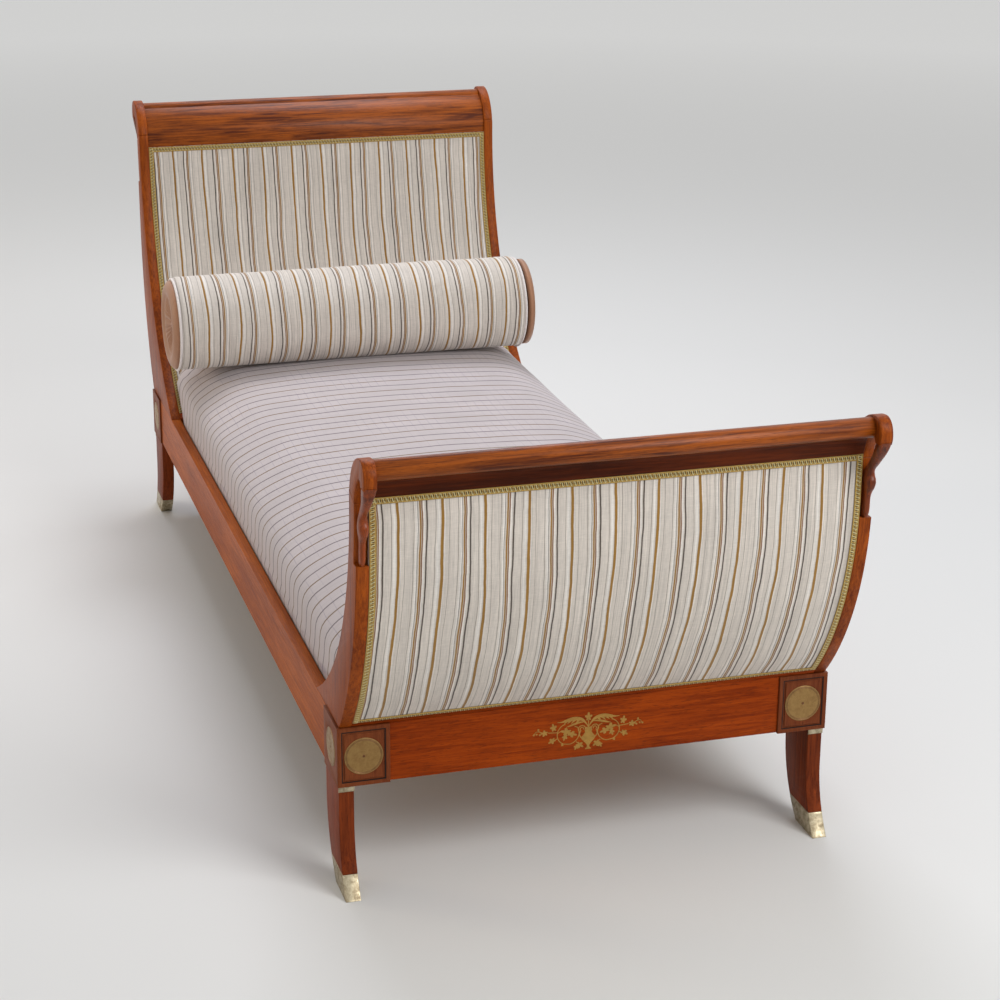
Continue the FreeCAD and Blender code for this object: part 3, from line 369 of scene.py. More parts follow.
def striped(name, turn, start, repeat=STRIPE_REPEAT / 1000, mirrored=False):
    """The upholstery cloth; start is where a plain gold stripe lies."""
    finish, web, shader = new_finish(name, Sheen_Weight=0.25, Sheen_Roughness=0.5)
    place = web.place(turn)
    across = web.less(web.split(place)[0], start)
    drift = web.long_noise(place, (9, 5, 5), 2.0)
    across = web.add(across, web.span(drift, 0.2, 0.8, -0.0045, 0.0045))
    across = web.add(across, web.span(web.noise(place, 60.0, 2.0), 0.2, 0.8, -0.0004, 0.0004))
    if mirrored:
        across = web.times(across, -1.0)
    colour = web.group(STRIPES, Across=across, Repeat=repeat)["Color"]
    weave_over(web, shader, place, colour, 0.26, CLOTH_ROUGH, 0.0006)
    return finish


# Length of one repeat of the mattress's lines, and where one starts
BED_REPEAT = 0.076
BED_START = 0.544


def bed_cloth(name):
    """The mattress's cloth: thin brown and grey lines by turns on a lilac white, over a faint check."""
    finish, web, shader = new_finish(name, Sheen_Weight=0.2, Sheen_Roughness=0.5)
    place = web.place()
    x, y, _ = web.split(place)
    drift = web.span(web.long_noise(place, (5, 5, 5), 2.0), 0.2, 0.8, -0.004, 0.004)
    across = web.add(web.add(x, BED_START), drift)
    share = web.math("FRACT", web.math("DIVIDE", across, BED_REPEAT))
    ground, brown, grey = srgb(189, 179, 180), srgb(110, 84, 52), srgb(106, 94, 98)
    stops = [
        (0, brown), (0.022, brown), (0.036, ground), (0.462, ground), (0.476, grey), (0.520, grey),
        (0.534, ground), (0.964, ground), (0.978, brown), (1.0, brown),
    ]
    colour = web.ramp(share, stops)
    check = web.math("FRACT", web.times(web.add(y, drift), 52.0))
    check = web.span(web.math("ABSOLUTE", web.less(check, 0.5)), 0.455, 0.5, 0.0, 0.5)
    patches = web.span(web.noise(place, 9.0, 3.0), 0.40, 0.62)
    colour = web.mix(web.times(check, patches), colour, srgb(112, 102, 132))
    weave_over(web, shader, place, colour, 0.12, CLOTH_ROUGH, 0.0005)
    return finish


def plain_cloth(name, colour, rough, sheen):
    finish, web, shader = new_finish(name, Sheen_Weight=sheen)
    weave_over(web, shader, web.place((35, 0, 20)), srgb(*colour), 0.14, rough, 0.0004, 0.5)
    return finish


def yarn(name, colour, shine):
    """Twisted gold or cream thread of the braid."""
    finish, web, shader = new_finish(name, Metallic=shine, Sheen_Weight=0.3)
    fuzz = web.noise(web.place(), 900.0, 2.0, 0.6)
    colour = web.mix(web.span(fuzz, 0.3, 0.7), srgb(*[c * 0.72 for c in colour]), srgb(*colour))
    dress(web, shader, colour, web.span(fuzz, 0.2, 0.8, 0.42, 0.62), fuzz, 0.0004, 0.6)
    return finish


RAIL_WOOD = wood("mahogany_rail", ALONG_X, (184, 96, 30), (124, 52, 10), 0.8, 0.8, 0.36, 0.08)
APRON_WOOD = wood("mahogany_apron", ALONG_Y, (162, 66, 8), (108, 34, 2), 0.9, 1.1, 0.36, 0.08)
CREST_WOOD = wood("mahogany_crest", ALONG_Y, (160, 80, 18), (84, 32, 4), 1.5, 1.0, 0.28, 0.2)
# A darker copy of the crest wood: painted shade of the dark cove under the foot's crest roll, laid over the
# whole foot crest board
SHADED_COVE_WOOD = wood("mahogany_cove_painted_shade", ALONG_Y, (104, 42, 10), (60, 20, 4), 1.0, 1.0, 0.36, 0.08)
POST_WOOD = wood("mahogany_post", ALONG_Z, (166, 80, 18), (98, 36, 5), 1.0, 1.0, 0.32, 0.12)
BLOCK_WOOD = wood("mahogany_block", ALONG_Z, (132, 70, 36), (98, 44, 20), 0.6, 0.8, 0.38, 0.1)
LEG_WOOD = wood("mahogany_leg", ALONG_Z, (138, 60, 22), (82, 30, 9), 0.9, 1.0, 0.36, 0.1)
CARVED_WOOD = wood("mahogany_carved", ALONG_Z, (148, 64, 14), (66, 22, 4), 1.2, 1.4, 0.24, 0.3)
HIDDEN_WOOD = wood("beech_rough", ALONG_Y, (206, 172, 128), (166, 126, 84), 0.7, 0.7, 0.6, 0.1)
EBONY = wood("ebony_line", ALONG_Y, (40, 24, 20), (18, 10, 9), 0.5, 0.5, 0.3)
STUD_BRASS = brass("brass_stud", (112, 70, 38), (80, 50, 26), 0.6, 0.5)
DISC_BRASS = brass("brass_disc", (150, 118, 68), (124, 90, 48), 0.6, 0.6)
SHOE_BRASS = brass("brass_shoe", (190, 178, 150), (120, 104, 78), 0.8, 0.8)
INLAY_BRASS = brass("brass_inlay", (176, 134, 62), (136, 98, 42), 0.5, 0.5)
STEEL = brass("steel_screw", (150, 150, 150), (90, 88, 84), 0.3)
FOOT_CLOTH = striped("cloth_foot", ALONG_Y, -0.3043)
HEAD_CLOTH = striped("cloth_head", ALONG_Y, -0.291, mirrored=True)
BOLSTER_CLOTH = striped("cloth_bolster", ALONG_Y, -0.4425, 0.0707, True)
BED_CLOTH = bed_cloth("cloth_mattress")
CAP_CLOTH = plain_cloth("cloth_bolster_end", (160, 112, 80), 0.55, 0.2)
PIPING_CLOTH = plain_cloth("cloth_piping", (226, 218, 214), 0.8, 0.3)
GOLD_YARN = yarn("yarn_gold", (206, 166, 72), 0.15)
CREAM_YARN = yarn("yarn_cream", (244, 230, 168), 0.0)
BRAID_GROUND = yarn("yarn_ground", (98, 74, 30), 0.1)


# Making and fitting pieces


def new_object(name, mesh):
    piece = bpy.data.objects.new(name, mesh)
    scene.collection.objects.link(piece)
    return piece


def new_piece(name, points, faces, finishes, picks=None):
    """A mesh object of the scene, smooth, with its faces turned outwards."""
    mesh = bpy.data.meshes.new(name)
    mesh.from_pydata([tuple(p) for p in points], [], faces)
    for finish in finishes if isinstance(finishes, (list, tuple)) else [finishes]:
        mesh.materials.append(finish)
    if picks:
        for face, pick in zip(mesh.polygons, picks):
            face.material_index = pick
    body = bmesh.new()
    body.from_mesh(mesh)
    bmesh.ops.recalc_face_normals(body, faces=body.faces[:])
    body.to_mesh(mesh)
    body.free()
    mesh.shade_smooth()
    return new_object(name, mesh)


def applied(piece):
    """The piece with its modifiers made part of its mesh."""
    bpy.context.view_layer.update()
    depsgraph = bpy.context.evaluated_depsgraph_get()
    shown = piece.evaluated_get(depsgraph)
    mesh = bpy.data.meshes.new_from_object(shown, preserve_all_data_layers=True, depsgraph=depsgraph)
    mesh.name = piece.name
    piece.modifiers.clear()
    piece.data = mesh
    return piece


def settle(piece, body, slot, *nodes):
    """Fits a piece to its body, in place of these nodes, which it hides; slot is not used."""
    if nodes:
        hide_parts(*nodes)
    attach(piece, body)
    return piece


def merged_copy(node, name):
    """A copy of a node's mesh as one skin, its flat faces whole."""
    body = bmesh.new()
    body.from_mesh(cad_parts[node].data)
    bmesh.ops.remove_doubles(body, verts=body.verts[:], dist=3e-6)
    bmesh.ops.dissolve_limit(body, angle_limit=math.radians(0.4), verts=body.verts[:], edges=body.edges[:])
    mesh = bpy.data.meshes.new(name)
    body.to_mesh(mesh)
    body.free()
    return new_object(name, mesh)


def eased(node, width, finish, slot="mahogany", reshape=None):
    """The same piece as a node, with its sharp edges rounded over as a maker's hand leaves them."""
    piece = merged_copy(node, node + "_eased")
    piece.data.shade_smooth()
    round_over = piece.modifiers.new("round_over", "BEVEL")
    round_over.width = width
    round_over.segments = 2
    round_over.limit_method = "ANGLE"
    round_over.angle_limit = math.radians(SHARP_ANGLE)
    round_over.harden_normals = True
    round_over.use_clamp_overlap = False
    applied(piece)
    piece.data.materials.clear()
    piece.data.materials.append(finish)
    if reshape:
        for vertex in piece.data.vertices:
            vertex.co = reshape(vertex.co)
    return settle(piece, "root", slot, node)


def ring_points(points, around, radius):
    """Numbers of the next points to be made: a whole ring, or one point where the radius is nothing."""
    return range(len(points), len(points) + (around if radius else 1))


def bridge(rings):
    """Faces from each ring of points, or single point, to the next."""
    faces = []
    around = max(len(ring) for ring in rings)
    for one, two in zip(rings, rings[1:]):
        for step in range(around):
            after = (step + 1) % around
            if len(one) == 1:
                faces.append((one[0], two[step], two[after]))
            elif len(two) == 1:
                faces.append((one[step], two[0], one[after]))
            else:
                faces.append((one[step], two[step], two[after], one[after]))
    return faces


def lathe(profile, around):
    """Points and faces of a turned solid about Z, from (radius, height) pairs out from its middle."""
    points, rings = [], []
    for radius, height in profile + [(0, profile[-1][1])]:
        rings.append(ring_points(points, around, radius))
        for step in range(len(rings[-1])):
            angle = 2 * math.pi * step / around
            points.append(Vector((radius * math.cos(angle), radius * math.sin(angle), height)))
    return points, bridge(rings)


def facing_out(spot, hand):
    """Places a turned solid on one side of the bed, its axis pointing out to the left or right."""
    return Matrix.Translation(spot) @ Matrix.Rotation(-hand * math.pi / 2, 4, "X")


def joined(pieces, name):
    """Several pieces made one, each face with the finish it had."""
    body = bmesh.new()
    finishes = []
    for piece in pieces:
        shift = len(finishes)
        finishes += list(piece.data.materials)
        known = len(body.faces)
        body.from_mesh(piece.data)
        body.faces.ensure_lookup_table()
        for face in body.faces[known:]:
            face.material_index += shift
    mesh = bpy.data.meshes.new(name)
    body.to_mesh(mesh)
    body.free()
    for finish in finishes:
        mesh.materials.append(finish)
    for piece in pieces:
        old = piece.data
        bpy.data.objects.remove(piece)
        bpy.data.meshes.remove(old)
    return new_object(name, mesh)


def smooth_step(low, high, value):
    share = min(max((value - low) / (high - low), 0.0), 1.0)
    return share * share * (3 - 2 * share)


def ripple(place, scale, seed=0.0):
    """A smooth wander between -1 and 1 that is the same each time."""
    return noise.noise(Vector(place) * scale + Vector((seed, seed * 1.7, seed * 0.3)))


def plump(piece, held, pressure, most):
    """Air presses a sewn cover outwards; held points stay, and none moves further than most."""
    before = [v.co.copy() for v in piece.data.vertices]
    grip = piece.vertex_groups.new(name="held")
    for index, weight in enumerate(held):
        if weight > 0:
            grip.add([index], weight, "REPLACE")
    cloth = piece.modifiers.new("cover", "CLOTH")
    cover = cloth.settings
    cover.use_pressure = True
    cover.uniform_pressure_force = pressure
    cover.effector_weights.gravity = 0
    cover.vertex_group_mass = "held"
    cover.mass = 0.3
    cover.quality = 3
    cover.tension_stiffness = cover.compression_stiffness = CLOTH_STIFFNESS
    cover.shear_stiffness = CLOTH_STIFFNESS * 0.5
    cover.bending_stiffness = 0.4
    cloth.collision_settings.use_collision = False
    cloth.point_cache.frame_start, cloth.point_cache.frame_end = 1, CLOTH_FRAMES
    for moment in range(1, CLOTH_FRAMES + 1):
        scene.frame_set(moment)
    depsgraph = bpy.context.evaluated_depsgraph_get()
    after = [v.co.copy() for v in piece.evaluated_get(depsgraph).data.vertices]
    piece.modifiers.clear()
    piece.vertex_groups.clear()
    scene.frame_set(1)
    for vertex, start, end in zip(piece.data.vertices, before, after):
        move = end - start
        if move.length > most:
            move *= most / move.length
        vertex.co = start + move


# Upholstered ends


def pad_top(end, side):
    return end.top - BOARD_DROP[side]


def make_pad(end, side, finish):
    """One padded face of an end: a stretched cover over thin stuffing, held all round under the braid."""
    rows, columns = 50, 90
    low, high = SILL_TOP, pad_top(end, side)
    half = RAIL_IN - PAD_GAP

    def edge_gap(spot):
        return min(half - abs(spot.y), high - spot.z, spot.z - low)

    points, held, aways = [], [], []
    for layer in (0, 1):
        for row in range(rows + 1):
            z = low + (high - low) * row / rows
            for column in range(columns + 1):
                y = -half + 2 * half * column / columns
                gap = min(half - abs(y), high - z, (z - low) * 1.2)
                inner = smooth_step(GIMP_WIDE * 0.8, 0.075, gap)
                sunk = PAD_RECESS - 0.0022 * inner if layer == 0 else PAD_RECESS + PAD_THICK
                spot, away = end.spot(side, z, y, sunk)
                points.append(spot)
                aways.append(away)
                held.append(1.0 if layer or gap < GIMP_WIDE * 0.9 else 0.0)
    wide = columns + 1
    area = wide * (rows + 1)
    faces = []
    for row in range(rows):
        for column in range(columns):
            a = row * wide + column
            faces.append((a, a + 1, a + wide + 1, a + wide))
            faces.append((area + a, area + a + wide, area + a + wide + 1, area + a + 1))
    rim = list(range(wide)) + [row * wide + columns for row in range(1, rows + 1)]
    rim += [rows * wide + column for column in range(columns - 1, -1, -1)]
    rim += [row * wide for row in range(rows - 1, 0, -1)]
    for one, two in zip(rim, rim[1:] + rim[:1]):
        faces.append((one, two, area + two, area + one))
    piece = new_piece("%s_%s_cover" % (end.name, side), points, faces, finish)
    plump(piece, held, 3.2, PAD_CROWN * 0.62)
    for index in range(area):
        if held[index] < 1:
            spot, start = piece.data.vertices[index].co, points[index]
            spot += (start - spot) * (1 - smooth_step(GIMP_WIDE, GIMP_WIDE + 0.030, edge_gap(start)))
            pull = ripple((spot.y * 2.6, 0, spot.z * 0.35), 9.0, end.face) * 0.0011
            pull += ripple((spot.y, 0, spot.z), 34.0, end.top) * 0.00035
            if end is HEAD and side == "inner":
                tall = math.sin(math.pi * (spot.z - low) / (high - low))
                pull += 0.0042 * tall * math.exp(-(((spot.y - 0.372) / 0.014) ** 2))
                pull -= 0.0040 * tall * math.exp(-(((spot.y + 0.365) / 0.020) ** 2))
            spot += aways[index] * pull * smooth_step(GIMP_WIDE, 0.05, edge_gap(spot))
    return settle(piece, "root", "stripe_fabric", "%s_%s_pad" % (end.name, side))


# Gimp braid


# Points of a zigzag cord to each pitch of the braid
CORD_STEPS = 6


def make_braid_tree():
    """Four cords along a path: two straight edge cords and two that zigzag between them and cross."""
    web, given, out = new_group(
        "gimp_braid",
        dict(Path="Geometry", Pitch="Float", Reach="Float", Cord="Float", Edge="Float", Lift="Float",
             Gold="Material", Cream="Material"),
        dict(Braid="Geometry"),
        "GeometryNodeTree",
    )

    def attribute(name):
        made = web.node("GeometryNodeInputNamedAttribute", {"Name": name}, data_type="FLOAT_VECTOR")
        return made.outputs[0]

    across, away = attribute("across"), attribute("away")

    def offset(side, over):
        """A step across the braid and a step out of it."""
        return web.vector("ADD", web.vector("MULTIPLY", across, side), web.vector("MULTIPLY", away, over))

    path = web.node("GeometryNodeMeshToCurve", {"Mesh": given["Path"]}).outputs[0]
    strands = web.node("GeometryNodeJoinGeometry")

    def cord(step, shift, radius, sides, finish):
        even = web.node("GeometryNodeResampleCurve", {"Curve": path, "Length": step}, mode="LENGTH")
        moved = web.node("GeometryNodeSetPosition", {"Geometry": even.outputs[0], "Offset": shift})
        section = {"Resolution": sides, "Radius": radius}
        ring = web.node("GeometryNodeCurvePrimitiveCircle", section, mode="RADIUS")
        skin = {"Curve": moved.outputs[0], "Profile Curve": ring.outputs[0], "Fill Caps": True}
        tube = web.node("GeometryNodeCurveToMesh", skin)
        painted = web.node("GeometryNodeSetMaterial", {"Geometry": tube.outputs[0], "Material": finish})
        web.feed(strands.inputs[0], painted.outputs[0])

    phase = web.times(web.node("GeometryNodeInputIndex").outputs[0], 2 * math.pi / CORD_STEPS)
    swing = web.times(web.math("COSINE", phase), given["Reach"])
    weave = web.times(web.math("SINE", phase), web.times(given["Cord"], 0.7))
    step = web.math("DIVIDE", given["Pitch"], float(CORD_STEPS))
    for hand, finish in ((1.0, given["Cream"]), (-1.0, given["Gold"])):
        over = web.add(given["Lift"], web.times(weave, hand))
        cord(step, offset(web.times(swing, hand), over), given["Cord"], 5, finish)
    for hand in (1.0, -1.0):
        side = web.times(given["Reach"], hand)
        cord(given["Pitch"], offset(side, given["Lift"]), given["Edge"], 6, given["Gold"])
    real = web.node("GeometryNodeRealizeInstances", {0: strands.outputs[0]})
    web.feed(out["Braid"], real.outputs[0])
    return web.tree


BRAID_TREE = make_braid_tree()


def gimp_paths(end, side):
    """The four runs of braid round a pad: points with the way across the braid and the way out."""
    low, high = SILL_TOP, pad_top(end, side)
    half = RAIL_IN - PAD_GAP
    sunk = PAD_RECESS - 0.0006
    mid = GIMP_WIDE / 2
    runs = []
    for hand in (-1, 1):
        run = []
        for step in range(49):
            z = low + (high - low) * step / 48
            spot, away = end.spot(side, z, (half - mid) * hand, sunk)
            run.append((spot, Vector((0, hand, 0)), away))
        runs.append((run, GIMP_WIDE))
    for z, wide in ((low + GIMP_LOW / 2 * 0.75, GIMP_LOW), (high - mid, GIMP_WIDE)):
        run = []
        for step in range(25):
            y = (half - GIMP_WIDE * 0.6) * (step / 12 - 1)
            spot, away = end.spot(side, z, y, sunk)
            run.append((spot, away.cross(Vector((0, 1, 0))), away))
        runs.append((run, wide))
    return runs


def make_gimp(end, side):
    """Open-woven braid tacked over the edge of a pad, on its darker ground tape."""
    runs = gimp_paths(end, side)
    name = "%s_%s_braid" % (end.name, side)
    points, edges, across, aways = [], [], [], []
    for run, _ in runs:
        for spot, way, away in run:
            if spot is not run[0][0]:
                edges.append((len(points) - 1, len(points)))
            points.append(spot)
            across.append(way)
            aways.append(away)
    mesh = bpy.data.meshes.new(name)
    mesh.from_pydata([tuple(p) for p in points], edges, [])
    for label, ways in (("across", across), ("away", aways)):
        layer = mesh.attributes.new(label, "FLOAT_VECTOR", "POINT")
        layer.data.foreach_set("vector", [c for way in ways for c in way])
    piece = new_object(name, mesh)
    weave = piece.modifiers.new("weave", "NODES")
    weave.node_group = BRAID_TREE
    inputs = [item for item in BRAID_TREE.interface.items_tree if item.in_out == "INPUT"]
    sockets = {item.name: item.identifier for item in inputs}
    settings = dict(Pitch=0.0072, Reach=GIMP_WIDE / 2 - 0.0013, Cord=0.00085, Edge=0.0011, Lift=0.0009)
    for label, value in dict(settings, Gold=GOLD_YARN, Cream=CREAM_YARN).items():
        weave[sockets[label]] = value
    applied(piece)
    tape_points, tape_faces = [], []
    for run, wide in runs:
        rings = []
        for spot, way, away in run:
            rings.append(range(len(tape_points), len(tape_points) + 4))
            for hand, lift in ((-1, 0.0), (-1, TAPE_THICK), (1, TAPE_THICK), (1, 0.0)):
                tape_points.append(spot + way * hand * wide / 2 + away * lift)
        tape_faces += bridge(rings) + [tuple(rings[0]), tuple(rings[-1])]
    tape = new_piece(name + "_tape", tape_points, tape_faces, BRAID_GROUND)
    return joined([piece, tape], name)


# Mattress and bolster


def make_mattress():
    """The mattress cover, swollen a little by its stuffing and trimmed to the curve of the two ends."""
    piece = merged_copy("mattress", "mattress_cover")
    remesh = piece.modifiers.new("skin", "REMESH")
    remesh.mode = "VOXEL"
    remesh.voxel_size = 0.015
    remesh.use_smooth_shade = True
    calm = piece.modifiers.new("calm", "SMOOTH")
    calm.factor, calm.iterations = 0.5, 8
    applied(piece)
    piece.data.materials.clear()
    piece.data.materials.append(BED_CLOTH)
    low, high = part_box("mattress")
    held = []
    for vertex in piece.data.vertices:
        spot = vertex.co
        end_gap = min(high[0] - spot.x, spot.x - low[0])
        free = smooth_step(RAIL_TOP - 0.01, RAIL_TOP + 0.05, spot.z) * smooth_step(0.03, 0.09, end_gap)
        held.append(1.0 - free)
    plump(piece, held, 2.0, 0.004)
    for vertex, weight in zip(piece.data.vertices, held):
        spot = vertex.co
        soft = ripple(spot, 4.2, 3.0) * 0.0022 + ripple(spot, 11.0, 5.0) * 0.0009
        spot.z += soft * (1 - weight)
    piece.data.shade_smooth()
    return settle(piece, "mattress", "mattress_fabric", "mattress")


# Creases of the bolster's cover: where they start and end (along it and round it), width and depth,
# which is then deepened by the gain
CREASE_GAIN = 1.6
CREASES = [
    (-0.335, 8, -0.318, -48, 0.010, 0.0038), (-0.300, 30, -0.292, -40, 0.007, 0.0022),
    (-0.360, 50, -0.345, 20, 0.008, 0.0014), (-0.392, 20, -0.372, 42, 0.007, 0.0016),
    (-0.240, 62, -0.228, 96, 0.009, 0.0018), (0.150, 30, 0.205, 48, 0.008, 0.0016),
    (0.215, 12, 0.238, 30, 0.007, 0.0016), (0.265, 2, 0.290, -14, 0.007, 0.0014),
    (0.345, 40, 0.352, 0, 0.010, 0.0018), (-0.060, -30, -0.045, -58, 0.010, 0.0015),
    (0.030, -34, 0.050, -60, 0.010, 0.0015), (-0.150, -28, -0.140, -60, 0.010, 0.0016),
    (-0.200, 140, -0.170, 175, 0.009, 0.0018), (0.100, 130, 0.130, 170, 0.009, 0.0016),
    (0.320, 150, 0.310, 185, 0.010, 0.0020), (-0.380, 150, -0.370, 190, 0.010, 0.0020),
]


def crease_depth(y, angle):
    """How far the cover sinks into its creases at a place on the roll; angle in degrees."""
    deep = 0.0
    arc = math.radians(1) * BOLSTER_ROUND
    for y0, a0, y1, a1, wide, shallow in CREASES:
        depth = shallow * CREASE_GAIN
        px, py = y - y0, (angle - a0) * arc
        dx, dy = y1 - y0, (a1 - a0) * arc
        share = min(max((px * dx + py * dy) / (dx * dx + dy * dy), 0.0), 1.0)
        gap = math.hypot(px - dx * share, py - dy * share)
        taper = math.sin(math.pi * (0.12 + 0.76 * share))
        deep = max(deep, depth * taper * math.exp(-((gap / wide) ** 2)))
        deep -= depth * 0.35 * taper * math.exp(-(((gap - wide * 1.7) / wide) ** 2))
    return deep


def make_bolster():
    """The bolster's cover: a roll pressed flat where it lies on the mattress, with soft creases."""
    columns, around = 132, 120
    straight = BOLSTER_HALF - CAP_DEEP
    hem = [(straight, 0.0), (straight, BOLSTER_ROUND - 0.015), (straight - 0.0005, BOLSTER_ROUND - 0.0032)]
    hem.append((straight - 0.004, BOLSTER_ROUND - 0.0006))
    run = straight - 0.010
    stations = [(-y, radius) for y, radius in hem]
    stations += [(-run + 2 * run * i / columns, BOLSTER_ROUND) for i in range(columns + 1)]
    stations += reversed(hem)
    floor = BED_TOP + 0.0006 - BOLSTER_MIDDLE.z
    points, held, rings = [], [], []
    for y, radius in stations:
        rings.append(ring_points(points, around, radius))
        for step in range(len(rings[-1])):
            angle = 2 * math.pi * step / around
            x, z = radius * math.cos(angle), radius * math.sin(angle)
            if z < floor + BOLSTER_EASE:
                z = floor + BOLSTER_EASE * math.exp((z - floor) / BOLSTER_EASE - 1)
            points.append(BOLSTER_MIDDLE + Vector((x, y, z)))
            held.append(1.0 if abs(y) > run - 0.012 or z < floor + 0.006 else 0.0)
    piece = new_piece("bolster_cover", points, bridge(rings), BOLSTER_CLOTH)
    plump(piece, held, 3.0, 0.002)
    for vertex, weight in zip(piece.data.vertices, held):
        if weight == 1:
            continue
        spot = vertex.co - BOLSTER_MIDDLE
        ray = Vector((spot.x, 0, spot.z)).normalized()
        angle = math.degrees(math.atan2(spot.z, spot.x))
        if angle < -100:
            angle += 360
        free = smooth_step(0.0, 0.05, straight - abs(spot.y)) * smooth_step(floor, floor + 0.03, spot.z)
        soft = ripple(spot, 9.0, 8.0) * 0.0013 + ripple((spot.x, spot.y * 2.4, spot.z), 22.0, 2.0) * 0.0006
        vertex.co += ray * (soft - crease_depth(vertex.co.y, angle)) * free
    return settle(piece, "bolster", "stripe_fabric", "bolster")


def cap_height(radius, angle):
    """How far the pleated end of the bolster stands out: a stuffed ring round a gathered hollow."""
    lip = 0.070
    if radius > lip:
        share = (radius - lip) / (CAP_RIM - lip)
        return 0.0095 + 0.0100 * math.sin(math.pi * (0.16 + 0.84 * share)) ** 0.8
    share = radius / lip
    bowl = 0.0050 + 0.0093 * smooth_step(0.35, 1.0, share)
    folds = abs(math.sin(angle * 13 + 1.1 * math.sin(angle * 3) + 0.5 * math.sin(angle * 7)))
    deep = 0.0042 * smooth_step(0.08, 0.40, share) * (1 - smooth_step(0.78, 1.0, share))
    return bowl + deep * (folds - 0.5)


# Section of the covered button in the middle of each end: radius and height
KNOB = [(0, 0.0092), (0.004, 0.0090), (0.0075, 0.0082), (0.0095, 0.0066), (0.0095, 0.002)]


def make_caps():
    """Both pleated ends of the bolster, each with a small covered button in its middle."""
    around, rows = 240, 40
    pieces = []
    for side, hand in SIDES:
        base = (BOLSTER_HALF - CAP_DEEP) * hand
        centre = BOLSTER_MIDDLE + Vector((0, base, 0))
        points, rings = [], []
        for row in range(rows + 1):
            radius = CAP_RIM * row / rows
            rings.append(ring_points(points, around, radius))
            for step in range(len(rings[-1])):
                angle = 2 * math.pi * step / around
                out = hand * cap_height(radius, angle)
                points.append(centre + Vector((radius * math.cos(angle), out, radius * math.sin(angle))))
        rim = points[-around:]
        rings += [range(len(points), len(points) + around), [len(points) + around]]
        points += [Vector((spot.x, base, spot.z)) for spot in rim] + [centre]
        pieces.append(new_piece("cap_" + side, points, bridge(rings), CAP_CLOTH))
        knob, knob_faces = lathe(KNOB, 40)
        spots = [facing_out(centre, hand) @ spot for spot in knob]
        pieces.append(new_piece("knob_" + side, spots, knob_faces, CAP_CLOTH))
    caps = joined(pieces, "bolster_pleated_ends")
    caps.data.shade_smooth()
    return settle(caps, "bolster", "cap_fabric", "bolster_caps")


def make_piping():
    """Covered piping round both ends of the bolster."""
    around, sides = 144, 10
    points, faces = [], []
    for _, hand in SIDES:
        seam = BOLSTER_MIDDLE + Vector((0, (BOLSTER_HALF - CAP_DEEP + 0.003) * hand, 0))
        rings = []
        for step in range(around):
            angle = 2 * math.pi * step / around
            ray = Vector((math.cos(angle), 0, math.sin(angle)))
            thick = 0.0030 + 0.00012 * math.sin(angle * 61)
            rings.append(range(len(points), len(points) + sides))
            for corner in range(sides):
                turn = 2 * math.pi * corner / sides
                out = ray * (PIPING_RING + thick * math.cos(turn))
                points.append(seam + out + Vector((0, thick * math.sin(turn), 0)))
        faces += bridge(rings + rings[:1])
    piece = new_piece("bolster_cord", points, faces, PIPING_CLOTH)
    return settle(piece, "bolster", "piping", "bolster_piping")


# Carving and brass

# Sections of a swan from the curl down, in millimetres: front edge and back edge, each out and down, and
# half the thickness
SWAN = [
    (104.5, 36, 83, 37, 10.6), (101.4, 42, 80.5, 42, 10.6), (97.5, 50, 76, 50, 10.0),
    (92.5, 59, 70.5, 58, 9.0), (85, 69, 64, 67, 8.0), (76.5, 79, 56, 76, 7.2), (69.5, 86, 48, 86, 6.8),
    (62.5, 93, 41, 94, 6.6), (58.0, 101, 36, 101, 7.0), (59.2, 108, 34.5, 107, 7.9),
    (62.4, 114, 34, 113, 8.7),
    (63.2, 121, 33.6, 120, 8.8), (60.6, 129, 33, 128, 7.8), (55.6, 136, 32.4, 136, 6.5),
    (51.6, 143, 31.8, 143, 5.8), (49.8, 151, 31, 151, 5.5), (49.6, 160, 30.2, 160, 5.5),
    (49.4, 169, 29.2, 169, 5.5), (48.2, 176, 28.2, 177, 5.2), (45.4, 183, 27.4, 184, 4.6),
    (42.5, 186, 27.2, 186, 3.6),
]
SWAN_EYE = [(0, 0.0011), (0.0008, 0.0009), (0.0014, 0.0004), (0.0017, -0.0003)]


def curve_through(rows, steps):
    """Rows of numbers with smooth rows put between them."""
    smooth = []
    for i in range(len(rows) - 1):
        before, one = rows[max(i - 1, 0)], rows[i]
        two, after = rows[i + 1], rows[min(i + 2, len(rows) - 1)]
        for step in range(steps):
            t = step / steps
            smooth.append([
                b + 0.5 * t * (c - a + t * (2 * a - 5 * b + 4 * c - d + t * (3 * b - a - 3 * c + d)))
                for a, b, c, d in zip(before, one, two, after)
            ])
    smooth.append(list(rows[-1]))
    return smooth


